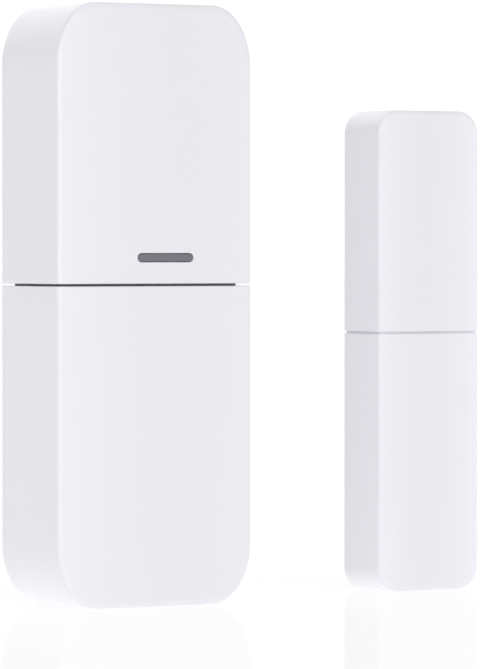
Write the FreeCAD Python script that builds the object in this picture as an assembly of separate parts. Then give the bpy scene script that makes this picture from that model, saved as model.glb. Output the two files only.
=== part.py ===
import FreeCAD, Part
import math
import os

# Wireless door contact sensor: a transmitter unit with a reed switch, and a smaller
# magnet unit beside it. Both stand on the plane Z = 0 with their backs in one plane.
# Millimetres. X runs from the transmitter to the magnet unit, -Y is the front, +Z up.
# The origin is the middle of the whole set's footprint, on the base plane.

V = FreeCAD.Vector

# ---- transmitter housing ----
main_height = 72.0
main_width = 26.5
main_depth = 14.5
main_corner_x = 5.2          # the corners are quarter ellipses, taller than wide
main_corner_z = 7.2
main_edge_fillet = 0.75
main_wall = 1.2
seam_height = 38.45          # middle of the seam above the base
seam_gap = 0.30
seam_lip_fillet = 0.15

# ---- magnet unit housing ----
magnet_height = 60.0
magnet_width = 14.8
magnet_depth = 8.4
magnet_corner = 2.8
magnet_edge_fillet = 0.70
magnet_wall = 1.1
groove_height = 32.3
groove_width = 0.30
groove_depth = 0.35
unit_gap = 22.0              # between the two housings as they stand

# ---- clearances ----
shell_clearance = 0.15       # round a chassis inside its shells
slide_clearance = 0.05       # radial, peg in socket and plunger in case
touch_gap = 0.10             # a pad or rib to what it keeps in place
seat_clearance = 0.05        # radial or per side, fixed pieces in their seats
peg_end_gap = 0.5            # between a peg's tip and the end of its socket
fuse_depth = 0.1             # how far a feature starts inside what it stands on
cut_past = 1.0               # how far a cut runs on past the material

# ---- chassis and base plate ----
plate_inset = 0.6            # back of the plate in front of the shells' rims
plate_thickness = 1.2
rim_thickness = 0.8
rim_height = 1.8
neck_front_gap = 0.3         # between the neck and the shells' front walls
neck_above_seam = 1.95
neck_below_seam = 4.15
neck_pocket_half = 5.5
neck_pocket_wall = 1.5
seal_height = 2.2
seal_thickness = 0.5
peg_radius = 1.0
socket_wall = 1.0
socket_height = 6.6
upper_peg_depth = 4.0
lower_peg_depth = 3.8
peg_x = 8.0
lower_peg_z = 5.2
upper_peg_seal_gap = 0.4     # between an upper socket and the seal above it
fixing_hole_radius = 1.6
fixing_hole_x = 8.4
fixing_hole_z = (12.0, 30.0)

# ---- housing screws ----
screw_radius = 1.1
screw_head_radius = 2.0
screw_head_height = 1.2
screw_length = 6.0
screw_x = 6.0
screw_below_top = 5.7
screw_boss_radius = 2.2
screw_pad_height = 1.5
drive_slot = 0.5
drive_span = 2.4
drive_depth = 0.6

# ---- circuit board ----
board_thickness = 1.0
board_standoff = 2.0
board_side_gap = 0.4
board_above_neck = 0.5
board_top = 62.0
tongue_width = 4.6
tongue_side_gap = 0.6        # the tongue's edge inside the board's edge
tongue_bottom = 9.0
post_radius = 1.2
post_inset = 2.0
board_screw_z = 59.4
board_screw_post_radius = 1.8
board_screw_radius = 0.9
board_screw_length = 3.0
board_screw_head_radius = 1.7
board_screw_head_height = 1.1
board_screw_edge = 0.3

# ---- status light ----
window_length = 7.7
window_height = 1.1
window_x = 1.25
window_above_seam = 3.25
window_recess = 0.12
flange_margin = 0.45
flange_thickness = 0.6
guide_height = 1.0
guide_tip_width = 2.4
led_length = 1.6
led_width = 0.8
led_height = 0.7
led_gap = 0.2

# ---- reed switch ----
reed_radius = 1.1
reed_glass_length = 14.0
reed_glass_wall = 0.35
reed_seal_length = 2.2
reed_x = 8.6
reed_z = 51.5
reed_stand = 0.5
lead_radius = 0.25
lead_reach = 2.0
blade_width = 1.0
blade_thickness = 0.2
blade_overlap = 1.4
blade_gap = 0.15

# ---- antenna coil ----
coil_radius = 2.1
coil_wire_radius = 0.35
coil_pitch = 1.6
coil_turns = 8
coil_x = -8.2
coil_z = 45.0
coil_stand = 0.8

# ---- small parts on the board ----
chip_length = 4.9
chip_width = 3.9
chip_height = 1.5
chip_leg_pitch = 1.27
chip_leg_width = 0.42
chip_leg_thickness = 0.2
chip_leg_reach = 1.0
chip_legs_a_side = 4
chip_dot_radius = 0.35
chip_dot_inset = 0.8
chip_dot_depth = 0.08
chip_place = (-1.6, 55.0)
crystal_length = 10.8
crystal_width = 4.6
crystal_height = 3.4
crystal_rim = 0.35
crystal_edge = 0.4
crystal_place = (0.6, 47.0)
transistor_place = (4.6, 56.6)
transistor_size = (2.9, 1.3, 1.0)
transistor_stand = 0.1
transistor_leg_x = 0.95
transistor_leg_width = 0.4
transistor_leg_reach = 0.55
capacitor_size = (1.6, 0.8, 0.8)
capacitor_places = ((-4.4, 59.2), (3.2, 59.9), (5.2, 52.6), (-4.9, 50.9))
resistor_size = (0.8, 1.6, 0.45)
resistor_places = ((2.0, 52.4), (3.5, 52.4), (-2.4, 43.3), (-8.6, 20.6), (-8.6, 31.6))

# ---- push switches in the battery bay ----
switch_size = 4.5
switch_height = 3.3
switch_corner = 0.3
switch_x = -8.6
tamper_z = 26.2
pairing_z = 15.2
plunger_radius = 1.2
plunger_edge = 0.2
plunger_engaged = 1.3
pairing_proud = 1.3
pairing_travel = 0.25
tamper_proud = 3.8
tamper_travel = 0.5
bore_spare = 0.15
rib_size = 3.4

# ---- battery and its contacts ----
battery_radius = 5.15
battery_length = 28.5
battery_sleeve = 0.15
battery_lip = 0.6
battery_nub_radius = 1.8
battery_nub_height = 1.0
battery_stand = 0.3
contact_thickness = 0.3
contact_half_width = 3.5
cradle_z = (16.5, 25.5)
cradle_half_width = 5.6
cradle_height = 2.8
cradle_thickness = 1.5
cradle_clearance = 0.1
end_wall = 1.0
spring_wire_radius = 0.25
spring_base_radius = 3.2
spring_tip_radius = 1.6
spring_turns = 3
strip_width = 2.0
strip_x = 4.6
strip_tab_z = 11.0
strip_tab_width = 1.0
strip_tab_from_edge = 1.6
strip_tab_proud = 0.4
battery_pad_size = (6.0, 20.0)

# ---- magnet unit inside ----
bar_length = 26.0
bar_width = 5.0
bar_thickness = 4.5
bar_seat_gap = 0.1
bar_chamfer = 0.3
bar_rail = 1.0
bar_rail_height = 2.6
magnet_peg_from_end = 5.2
magnet_peg_depth = 2.6
magnet_socket_height = 3.2
magnet_hole_from_end = 13.0
magnet_pad_size = (4.0, 20.0)

# ---- adhesive pads ----
tape_thickness = 1.0
tape_corner = 0.8
main_tape_size = (12.0, 52.0)
main_tape_bottom = 10.0
magnet_tape_size = (9.0, 27.0)

# ---- places worked out from the sizes above ----
tape_proud = tape_thickness - plate_inset
set_width = main_width + unit_gap + magnet_width
set_depth = main_depth + tape_proud
rear_y = set_depth / 2 - tape_proud
main_place = V(main_width / 2 - set_width / 2, rear_y, 0)
magnet_place = V(set_width / 2 - magnet_width / 2, rear_y, 0)

# Below, each unit is drawn with its own middle at X = 0 and its rims at Y = 0.
main_front_inside = main_wall - main_depth
magnet_front_inside = magnet_wall - magnet_depth
plate_front = -plate_inset - plate_thickness
neck_top = seam_height + neck_above_seam
neck_bottom = seam_height - neck_below_seam
neck_front = main_front_inside + neck_front_gap
board_back = plate_front - board_standoff
board_front = board_back - board_thickness
board_bottom = neck_top + board_above_neck
board_half = main_width / 2 - main_wall - shell_clearance - board_side_gap
tongue_left = tongue_side_gap - board_half
tongue_right = tongue_left + tongue_width
window_z = seam_height + window_above_seam
upper_peg_z = (seam_height - seal_height / 2 - upper_peg_seal_gap
               - slide_clearance - peg_radius)
screw_z = main_height - screw_below_top
end_wall_top = main_wall + shell_clearance + end_wall
battery_top = neck_bottom - contact_thickness
battery_bottom = battery_top - battery_length
battery_y = plate_front - battery_stand - battery_radius
switch_front = board_front - switch_height
strip_tab_x = tongue_right - strip_tab_from_edge


# ---- plain shapes ----

def block(x0, x1, y0, y1, z0, z1):
    """Box between two corners."""
    return Part.makeBox(x1 - x0, y1 - y0, z1 - z0, V(x0, y0, z0))


def rod(radius, x, z, y_start, y_end):
    """Round rod along Y."""
    low = min(y_start, y_end)
    return Part.makeCylinder(radius, abs(y_end - y_start), V(x, low, z), V(0, 1, 0))


def upright(radius, x, y, z_low, z_high):
    """Round rod along Z."""
    return Part.makeCylinder(radius, z_high - z_low, V(x, y, z_low), V(0, 0, 1))


def corner_arc(x_side, z_side, centre, corner_x, corner_z):
    """Quarter ellipse in an XZ plane, round one corner of an outline."""
    tall = V(0, 0, z_side * corner_z)
    wide = V(x_side * corner_x, 0, 0)
    if corner_z > corner_x:
        ellipse = Part.Ellipse(centre + tall, centre + wide, centre)
        return Part.ArcOfEllipse(ellipse, 0, math.pi / 2).toShape()
    if corner_x > corner_z:
        ellipse = Part.Ellipse(centre + wide, centre + tall, centre)
        return Part.ArcOfEllipse(ellipse, 0, math.pi / 2).toShape()
    middle = centre + (tall + wide) * math.sqrt(0.5)
    return Part.Arc(centre + tall, middle, centre + wide).toShape()


def rounded_prism(width, z_low, z_high, corner_x, corner_z, y_back, y_front):
    """Upright slab with rounded corners, from its back to its front."""
    x = width / 2 - corner_x
    edges = [
        corner_arc(x_side, z_side, V(x_side * x, y_back, z), corner_x, corner_z)
        for x_side in (-1, 1)
        for z_side, z in ((-1, z_low + corner_z), (1, z_high - corner_z))
    ]
    for z in (z_low, z_high):
        edges.append(Part.makeLine(V(-x, y_back, z), V(x, y_back, z)))
    low, high = z_low + corner_z, z_high - corner_z
    if high - low > 1e-6:
        for side in (-width / 2, width / 2):
            edges.append(Part.makeLine(V(side, y_back, low), V(side, y_back, high)))
    face = Part.Face(Part.Wire(Part.__sortEdges__(edges)))
    return face.extrude(V(0, y_front - y_back, 0))


def bar_shape(length, height, x, z, y_back, y_front):
    """Bar with round ends, lying along X."""
    return rounded_prism(length, z - height / 2, z + height / 2,
                         height / 2, height / 2, y_back, y_front).translated(V(x, 0, 0))


def front_edges(shape, y):
    """Edges that lie in the plane at y."""
    return [e for e in shape.Edges
            if abs(e.BoundBox.YMin - y) < 1e-4 and abs(e.BoundBox.YMax - y) < 1e-4]


def seam_edges(shape, z):
    """Edges of the seam's face, apart from the one along the back rim."""
    return [e for e in shape.Edges
            if abs(e.BoundBox.ZMin - z) < 1e-4 and abs(e.BoundBox.ZMax - z) < 1e-4
            and e.BoundBox.YMin < -1e-3]


# ---- transmitter shells ----

def main_outside():
    body = rounded_prism(main_width, 0, main_height, main_corner_x, main_corner_z,
                         0, -main_depth)
    return body.makeFillet(main_edge_fillet, front_edges(body, -main_depth))


def main_inside(inset, y_back, y_front):
    """Prism that follows the outline at an even inset."""
    return rounded_prism(main_width - 2 * inset, inset, main_height - inset,
                         main_corner_x - inset, main_corner_z - inset, y_back, y_front)


def half_shell(z_low, z_high, seam_z):
    """One half of the housing, hollow and open at its back and at the seam."""
    keep = block(-main_width, main_width, -2 * main_depth, main_depth, z_low, z_high)
    half = main_outside().common(keep)
    half = half.Solids[0]
    half = half.makeFillet(seam_lip_fillet, seam_edges(half, seam_z))
    return half.cut(main_inside(main_wall, cut_past, main_front_inside))


def upper_housing():
    seam = seam_height + seam_gap / 2
    shell = half_shell(seam, 2 * main_height, seam)
    for x in (-screw_x, screw_x):
        boss_back = plate_front - screw_pad_height
        boss = rod(screw_boss_radius, x, screw_z, boss_back, main_front_inside - main_wall / 2)
        shell = shell.fuse(boss)
        pilot = rod(screw_radius + seat_clearance / 2, x, screw_z,
                    boss_back + cut_past, boss_back - screw_length)
        shell = shell.cut(pilot)
    slot = bar_shape(window_length, window_height, window_x, window_z, 0, -2 * main_depth)
    front = block(-main_width, main_width, -2 * main_depth, main_front_inside + cut_past,
                  0, main_height)
    return shell.cut(slot.common(front)).removeSplitter()


def battery_cover():
    seam = seam_height - seam_gap / 2
    shell = half_shell(-main_height, seam, seam)
    root = main_front_inside - main_wall / 2
    upper_tip = neck_front + upper_peg_depth
    lower_tip = plate_front - socket_height + lower_peg_depth
    for x in (-peg_x, peg_x):
        shell = shell.fuse(rod(peg_radius, x, upper_peg_z, root, upper_tip))
        shell = shell.fuse(rod(peg_radius, x, lower_peg_z, root, lower_tip))
    half = rib_size / 2
    rib = block(switch_x - half, switch_x + half, root, tamper_front() - touch_gap,
                tamper_z - half, tamper_z + half)
    return shell.fuse(rib).removeSplitter()


# ---- chassis ----

def screw_seat(x):
    """Pad that a housing screw pulls the boss against."""
    return rod(screw_head_radius + socket_wall, x, screw_z, plate_front + fuse_depth,
               plate_front - screw_pad_height)


def screw_hole(x):
    """Stepped hole for one housing screw, from the back."""
    head_floor = -plate_inset - screw_head_height
    head = rod(screw_head_radius + 4 * seat_clearance, x, screw_z, 0, head_floor)
    shank = rod(screw_radius + 2 * seat_clearance, x, screw_z, 0,
                plate_front - screw_pad_height - cut_past)
    return head.fuse(shank)


def neck():
    """Wall between the electronics and the battery bay, seen inside the seam."""
    inset = main_wall + shell_clearance
    half = main_width / 2 - inset
    wall = block(-half, half, neck_front, plate_front + fuse_depth, neck_bottom, neck_top)
    pocket = block(-neck_pocket_half, neck_pocket_half, neck_front + neck_pocket_wall,
                   board_front, neck_bottom + neck_pocket_wall, neck_top + cut_past)
    for x in (-peg_x, peg_x):
        bore = rod(peg_radius + slide_clearance, x, upper_peg_z,
                   neck_front - cut_past, neck_front + upper_peg_depth + peg_end_gap)
        wall = wall.cut(bore)
    return wall.cut(pocket)


def seal_ring():
    """Band round the neck at the height of the seam."""
    inset = main_wall + shell_clearance
    half = main_width / 2 - inset
    low = seam_height - seal_height / 2
    high = seam_height + seal_height / 2
    t = seal_thickness
    core = block(-half + t, half - t, neck_front + t, -plate_inset - t, low, high)
    return block(-half, half, neck_front, -plate_inset, low, high).cut(core)


def chassis():
    inset = main_wall + shell_clearance
    plate = main_inside(inset, -plate_inset, plate_front)
    rim = main_inside(inset, plate_front + fuse_depth, plate_front - rim_height)
    rim = rim.cut(main_inside(inset + rim_thickness, cut_past, -main_depth))
    body = plate.fuse([rim, neck()])
    for x in (-peg_x, peg_x):
        body = body.fuse(rod(peg_radius + slide_clearance + socket_wall, x, lower_peg_z,
                             plate_front + fuse_depth, plate_front - socket_height))
        bore_floor = plate_front - socket_height + lower_peg_depth + peg_end_gap
        body = body.cut(rod(peg_radius + slide_clearance, x, lower_peg_z,
                            plate_front - socket_height - cut_past, bore_floor))
    for x in (-screw_x, screw_x):
        body = body.fuse(screw_seat(x))
        body = body.cut(screw_hole(x))
    for x, z in board_posts():
        body = body.fuse(rod(post_radius, x, z, plate_front + fuse_depth, board_back))
    body = body.fuse(rod(board_screw_post_radius, 0, board_screw_z,
                         plate_front + fuse_depth, board_back))
    body = body.cut(board_screw_hole())
    for piece in battery_seat():
        body = body.fuse(piece)
    body = body.cut(upright(battery_radius + cradle_clearance, 0, battery_y,
                            end_wall_top, neck_bottom))
    for z in fixing_hole_z:
        body = body.cut(rod(fixing_hole_radius, fixing_hole_x, z, cut_past,
                            plate_front - cut_past))
    body = body.cut(tongue_slot())
    body = body.cut(positive_slot())
    return body.cut(seal_ring()).removeSplitter()


def board_posts():
    x = board_half - post_inset
    return [(side * x, z) for side in (-1, 1)
            for z in (board_bottom + post_inset, board_top - post_inset)]


def board_screw_hole():
    return rod(board_screw_radius + seat_clearance / 2, 0, board_screw_z,
               board_front, board_front + board_screw_length)


def battery_seat():
    """Two saddles behind the battery and the wall under its spring."""
    saddles = [
        block(-cradle_half_width, cradle_half_width, plate_front - cradle_height,
              plate_front + fuse_depth, z - cradle_thickness / 2, z + cradle_thickness / 2)
        for z in cradle_z
    ]
    low = main_wall + shell_clearance
    wall = block(-cradle_half_width, cradle_half_width, battery_y - battery_radius,
                 plate_front + fuse_depth, low, end_wall_top)
    return saddles + [wall]


def tongue_slot():
    """Slot through the neck for the board's tongue."""
    c = 2 * seat_clearance
    return block(tongue_left - c, tongue_right + c, board_front - c, board_back + c,
                 neck_bottom - cut_past, neck_top + cut_past)


def positive_slot():
    """Slot through the neck for the battery's upper contact."""
    c = 2 * seat_clearance
    half = strip_width / 2 + c
    return block(-half, half, board_back - c, board_back + contact_thickness + c,
                 neck_bottom - cut_past, neck_top + cut_past)


# ---- status light ----

def led_window():
    c = seat_clearance
    pane = bar_shape(window_length - 2 * c, window_height - 2 * c, window_x, window_z,
                     main_front_inside, window_recess - main_depth)
    flange = bar_shape(window_length + 2 * flange_margin, window_height + 2 * flange_margin,
                       window_x, window_z, main_front_inside + flange_thickness,
                       main_front_inside)
    return pane.fuse(flange).removeSplitter()


def light_guide():
    """Clear wedge that spreads the lamp's light over the window."""
    back = board_front - led_height - led_gap
    front = main_front_inside + flange_thickness
    wide = (window_length - window_height) / 2
    narrow = guide_tip_width / 2
    low = window_z - guide_height / 2
    corners = [V(window_x - narrow, back, low), V(window_x + narrow, back, low),
               V(window_x + wide, front, low), V(window_x - wide, front, low)]
    outline = Part.makePolygon(corners + corners[:1])
    return Part.Face(outline).extrude(V(0, 0, guide_height))


def status_led():
    base_front = board_front - led_height / 2
    base = block(window_x - led_length / 2, window_x + led_length / 2, base_front,
                 board_front, window_z - led_width / 2, window_z + led_width / 2)
    lens = bar_shape(led_length * 0.7, led_width * 0.8, window_x, window_z,
                     base_front, board_front - led_height)
    return base.fuse(lens).removeSplitter()


# ---- circuit board and what it carries ----

def circuit_board():
    main = block(-board_half, board_half, board_front, board_back, board_bottom, board_top)
    tongue = block(tongue_left, tongue_right, board_front, board_back,
                   tongue_bottom, board_bottom)
    board = main.fuse(tongue).removeSplitter()
    board = board.cut(rod(board_screw_radius + 4 * seat_clearance, 0, board_screw_z,
                          0, -main_depth))
    return board.cut(negative_tab_hole())


def reed_axis_y():
    return board_front - reed_stand - reed_radius


def capsule(radius, length):
    """Upright rod with domed ends, centred on the reed switch's place."""
    y = reed_axis_y()
    half = length / 2 - radius
    body = upright(radius, reed_x, y, reed_z - half, reed_z + half)
    for end in (-half, half):
        body = body.fuse(Part.makeSphere(radius, V(reed_x, y, reed_z + end)))
    return body.removeSplitter()


def reed_switch_glass():
    glass = capsule(reed_radius, reed_glass_length)
    hollow = capsule(reed_radius - reed_glass_wall, reed_glass_length - 2 * reed_seal_length)
    wire = upright(lead_radius, reed_x, reed_axis_y(), reed_z - reed_glass_length,
                   reed_z + reed_glass_length)
    return glass.cut(hollow).cut(wire)


def reed_blade(end):
    """One contact: a flat blade in the glass and a round lead bent to the board."""
    y = reed_axis_y()
    inner = reed_z + end * (reed_glass_length / 2 - reed_seal_length)
    outer = reed_z + end * (reed_glass_length / 2 + lead_reach)
    root = inner - end * (reed_radius - reed_glass_wall)
    lead = upright(lead_radius, reed_x, y, min(root, outer), max(root, outer))
    elbow = Part.makeSphere(lead_radius, V(reed_x, y, outer))
    leg = rod(lead_radius, reed_x, outer, y, board_front)
    tip = reed_z - end * blade_overlap / 2
    offset = end * (blade_gap + blade_thickness) / 2
    blade = block(reed_x - blade_width / 2, reed_x + blade_width / 2,
                  y + offset - blade_thickness / 2, y + offset + blade_thickness / 2,
                  min(tip, root), max(tip, root))
    return lead.fuse([elbow, leg, blade]).removeSplitter()


def antenna_coil():
    """Wire helix beside the board's edge, with a leg at each end."""
    height = coil_pitch * coil_turns
    y = board_front - coil_stand - coil_radius - coil_wire_radius
    helix = Part.makeHelix(coil_pitch, height, coil_radius)
    rise = coil_pitch / (2 * math.pi * coil_radius)
    start = Part.Wire(Part.makeCircle(coil_wire_radius, V(coil_radius, 0, 0), V(0, 1, rise)))
    coil = Part.Wire(helix).makePipeShell([start], True, True)
    coil.rotate(V(0, 0, 0), V(0, 0, 1), 90)
    coil.translate(V(coil_x, y, coil_z))
    back = y + coil_radius
    for z in (coil_z, coil_z + height):
        knee = Part.makeSphere(coil_wire_radius, V(coil_x, back, z))
        coil = coil.fuse([knee, rod(coil_wire_radius, coil_x, z, back, board_front)])
    return coil.removeSplitter()


def microcontroller_body():
    x, z = chip_place
    body = block(x - chip_width / 2, x + chip_width / 2, board_front - chip_height,
                 board_front - chip_leg_thickness, z - chip_length / 2, z + chip_length / 2)
    dot = rod(chip_dot_radius, x - chip_width / 2 + chip_dot_inset,
              z + chip_length / 2 - chip_dot_inset,
              board_front - chip_height - cut_past,
              board_front - chip_height + chip_dot_depth)
    return body.cut(dot)


def microcontroller_legs():
    x, z = chip_place
    legs = []
    t = chip_leg_thickness
    shoulder = board_front - chip_height / 2
    for side in (-1, 1):
        edge = x + side * chip_width / 2
        knee = edge + side * chip_leg_reach / 2
        toe = edge + side * chip_leg_reach
        for i in range(chip_legs_a_side):
            row = i - (chip_legs_a_side - 1) / 2
            low = z + row * chip_leg_pitch - chip_leg_width / 2
            high = low + chip_leg_width
            top = block(min(edge, knee), max(edge, knee), shoulder - t, shoulder, low, high)
            drop = block(min(knee - side * t, knee), max(knee - side * t, knee),
                         shoulder - t, board_front, low, high)
            foot = block(min(knee - side * t, toe), max(knee - side * t, toe),
                         board_front - t, board_front, low, high)
            legs.append(top.fuse([drop, foot]).removeSplitter())
    return legs


def radio_crystal():
    x, z = crystal_place
    rim = bar_shape(crystal_length, crystal_width, x, z, board_front, board_front - crystal_rim)
    can = bar_shape(crystal_length - 2 * crystal_rim, crystal_width - 2 * crystal_rim, x, z,
                    board_front, board_front - crystal_height)
    can = can.makeFillet(crystal_edge, front_edges(can, board_front - crystal_height))
    return rim.fuse(can).removeSplitter()


def radio_transistor():
    x, z = transistor_place
    width, height, depth = transistor_size
    back = board_front - transistor_stand
    body = block(x - width / 2, x + width / 2, back - depth, back,
                 z - height / 2, z + height / 2)
    half = transistor_leg_width / 2
    for leg_x, side in ((x - transistor_leg_x, -1), (x + transistor_leg_x, -1), (x, 1)):
        toe = z + side * (height / 2 + transistor_leg_reach)
        leg = block(leg_x - half, leg_x + half, board_front - 2 * transistor_stand,
                    board_front, min(z, toe), max(z, toe))
        body = body.fuse(leg)
    return body.removeSplitter()


def board_blocks(size, places):
    """Surface-mounted blocks, each a separate solid."""
    width, height, depth = size
    return [block(x - width / 2, x + width / 2, board_front - depth, board_front,
                  z - height / 2, z + height / 2) for x, z in places]


# ---- push switches ----

def plunger_back():
    return switch_front + plunger_engaged


def pairing_front():
    return switch_front - pairing_proud


def tamper_front():
    return switch_front - tamper_proud


def switch_case(z, inward_travel):
    """Square switch case with a bore that its plunger runs in."""
    half = switch_size / 2
    case = block(switch_x - half, switch_x + half, switch_front, board_front,
                 z - half, z + half)
    upright_edges = [e for e in case.Edges
                     if e.BoundBox.YLength > switch_height / 2]
    case = case.makeFillet(switch_corner, upright_edges)
    floor = plunger_back() + inward_travel + bore_spare
    return case.cut(rod(plunger_radius + slide_clearance, switch_x, z, -main_depth, floor))


def plunger(z, front):
    stem = rod(plunger_radius, switch_x, z, plunger_back(), front)
    return stem.makeFillet(plunger_edge, front_edges(stem, front))


# ---- battery and contacts ----

def battery_can():
    body_top = battery_top - battery_nub_height
    can = upright(battery_radius - battery_sleeve, 0, battery_y, battery_bottom, body_top)
    nub = upright(battery_nub_radius, 0, battery_y, body_top - fuse_depth, battery_top)
    return can.fuse(nub).removeSplitter()


def battery_sleeve_tube():
    body_top = battery_top - battery_nub_height
    outer = upright(battery_radius, 0, battery_y, battery_bottom + battery_lip,
                    body_top - battery_lip)
    inner = upright(battery_radius - battery_sleeve, 0, battery_y,
                    battery_bottom, body_top)
    return outer.cut(inner)


def positive_contact():
    """Plate over the battery's button end, with a tab up to the board."""
    plate = block(-contact_half_width, contact_half_width, battery_y - contact_half_width,
                  board_back + contact_thickness, battery_top, neck_bottom)
    half = strip_width / 2
    tab = block(-half, half, board_back, board_back + contact_thickness,
                battery_top, board_bottom + 2 * strip_width)
    return plate.fuse(tab).removeSplitter()


def negative_tab_hole():
    half = strip_tab_width / 2 + seat_clearance
    return block(strip_tab_x - half, strip_tab_x + half,
                 board_front - cut_past, board_back + cut_past,
                 strip_tab_z - seat_clearance,
                 strip_tab_z + contact_thickness + seat_clearance)


def negative_contact():
    """Spring plate on the end wall, with a strip behind the battery to the tongue."""
    t = contact_thickness
    back = plate_front - 2 * seat_clearance
    left = -strip_x - strip_width / 2
    plate = block(left, contact_half_width, battery_y - contact_half_width, back,
                  end_wall_top, end_wall_top + t)
    strip = block(left, left + strip_width, back - t, back, end_wall_top, strip_tab_z)
    tab_left = strip_tab_x - strip_tab_width / 2
    arm = block(tab_left, left + strip_width, back - t, back, strip_tab_z - strip_width,
                strip_tab_z + t)
    tab = block(tab_left, tab_left + strip_tab_width, board_front - strip_tab_proud, back,
                strip_tab_z, strip_tab_z + t)
    return plate.fuse([strip, arm, tab]).removeSplitter()


def negative_spring():
    """Conical spring, wide end down."""
    low = end_wall_top + contact_thickness + spring_wire_radius
    height = battery_bottom - spring_wire_radius - low
    flare = math.degrees(math.atan((spring_base_radius - spring_tip_radius) / height))
    pitch = height / spring_turns
    helix = Part.makeHelix(pitch, height, spring_tip_radius, flare)
    start = Part.makeCircle(spring_wire_radius, V(spring_tip_radius, 0, 0), V(0, 1, 0))
    spring = Part.Wire(helix).makePipeShell([Part.Wire(start)], True, True)
    spring.rotate(V(0, 0, 0), V(1, 0, 0), 180)
    spring.translate(V(0, battery_y, low + height))
    return spring


def battery_foam_pad():
    width, height = battery_pad_size
    back = battery_y - battery_radius - touch_gap
    middle = (battery_top + battery_bottom) / 2
    return block(-width / 2, width / 2, main_front_inside, back,
                 middle - height / 2, middle + height / 2)


# ---- fasteners ----

def cross_slot(x, z, y_face, into):
    """Cross-shaped drive recess; into is +1 or -1 along Y."""
    y0, y1 = sorted((y_face - into, y_face + into * drive_depth))
    long = drive_span / 2
    thin = drive_slot / 2
    bar = block(x - long, x + long, y0, y1, z - thin, z + thin)
    return bar.fuse(block(x - thin, x + thin, y0, y1, z - long, z + long))


def housing_screw(x):
    floor = -plate_inset - screw_head_height
    face = -plate_inset - touch_gap
    head = rod(screw_head_radius, x, screw_z, face, floor)
    tip = plate_front - screw_pad_height - screw_length + peg_end_gap
    shank = rod(screw_radius, x, screw_z, floor, tip)
    return head.fuse(shank).cut(cross_slot(x, screw_z, face, -1))


def board_screw():
    face = board_front - board_screw_head_height
    head = rod(board_screw_head_radius, 0, board_screw_z, board_front, face)
    head = head.makeFillet(board_screw_edge, front_edges(head, face))
    shank = rod(board_screw_radius, 0, board_screw_z, board_front,
                board_front + board_screw_length - touch_gap)
    return head.fuse(shank).cut(cross_slot(0, board_screw_z, face, 1))


# ---- adhesive pads ----

def tape_pad(size, bottom):
    width, height = size
    pad = block(-width / 2, width / 2, -plate_inset, tape_proud, bottom, bottom + height)
    corners = [e for e in pad.Edges if e.BoundBox.YLength > tape_thickness / 2]
    return pad.makeFillet(tape_corner, corners)


# ---- magnet unit ----

def magnet_prism(inset, y_back, y_front):
    corner = magnet_corner - inset
    return rounded_prism(magnet_width - 2 * inset, inset, magnet_height - inset,
                         corner, corner, y_back, y_front)


def magnet_pegs_z():
    return (magnet_peg_from_end, magnet_height - magnet_peg_from_end)


def magnet_housing():
    body = magnet_prism(0, 0, -magnet_depth)
    body = body.makeFillet(magnet_edge_fillet, front_edges(body, -magnet_depth))
    low = groove_height - groove_width / 2
    high = groove_height + groove_width / 2
    reach = magnet_width
    band = block(-reach, reach, -reach, reach, low, high)
    core = block(-magnet_width / 2 + groove_depth, magnet_width / 2 - groove_depth,
                 groove_depth - magnet_depth, reach, low - cut_past, high + cut_past)
    shell = body.cut(band.cut(core))
    shell = shell.cut(magnet_prism(magnet_wall, cut_past, magnet_front_inside))
    tip = plate_front - magnet_socket_height + magnet_peg_depth
    for z in magnet_pegs_z():
        shell = shell.fuse(rod(peg_radius, 0, z, magnet_front_inside - magnet_wall / 2, tip))
    return shell.removeSplitter()


def magnet_base():
    body = magnet_prism(magnet_wall + shell_clearance, -plate_inset, plate_front)
    for z in magnet_pegs_z():
        body = body.fuse(rod(peg_radius + slide_clearance + socket_wall, 0, z,
                             plate_front + fuse_depth, plate_front - magnet_socket_height))
        floor = plate_front - magnet_socket_height + magnet_peg_depth + peg_end_gap
        body = body.cut(rod(peg_radius + slide_clearance, 0, z, -magnet_depth, floor))
    half = bar_width / 2 + bar_seat_gap
    low = magnet_height / 2 - bar_length / 2 - bar_seat_gap
    high = magnet_height / 2 + bar_length / 2 + bar_seat_gap
    cradle = block(-half - bar_rail, half + bar_rail, plate_front - bar_rail_height,
                   plate_front + fuse_depth, low - bar_rail, high + bar_rail)
    cradle = cradle.cut(block(-half, half, -magnet_depth, plate_front, low, high))
    body = body.fuse(cradle)
    for z in (magnet_hole_from_end, magnet_height - magnet_hole_from_end):
        body = body.cut(rod(fixing_hole_radius, 0, z, cut_past, -magnet_depth))
    return body.removeSplitter()


def bar_magnet():
    bar = block(-bar_width / 2, bar_width / 2, plate_front - bar_thickness, plate_front,
                magnet_height / 2 - bar_length / 2, magnet_height / 2 + bar_length / 2)
    return bar.makeChamfer(bar_chamfer, bar.Edges)


def magnet_foam_pad():
    width, height = magnet_pad_size
    back = plate_front - bar_thickness - touch_gap
    return block(-width / 2, width / 2, magnet_front_inside, back,
                 magnet_height / 2 - height / 2, magnet_height / 2 + height / 2)


# ---- every node, with the place of its unit ----

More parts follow.
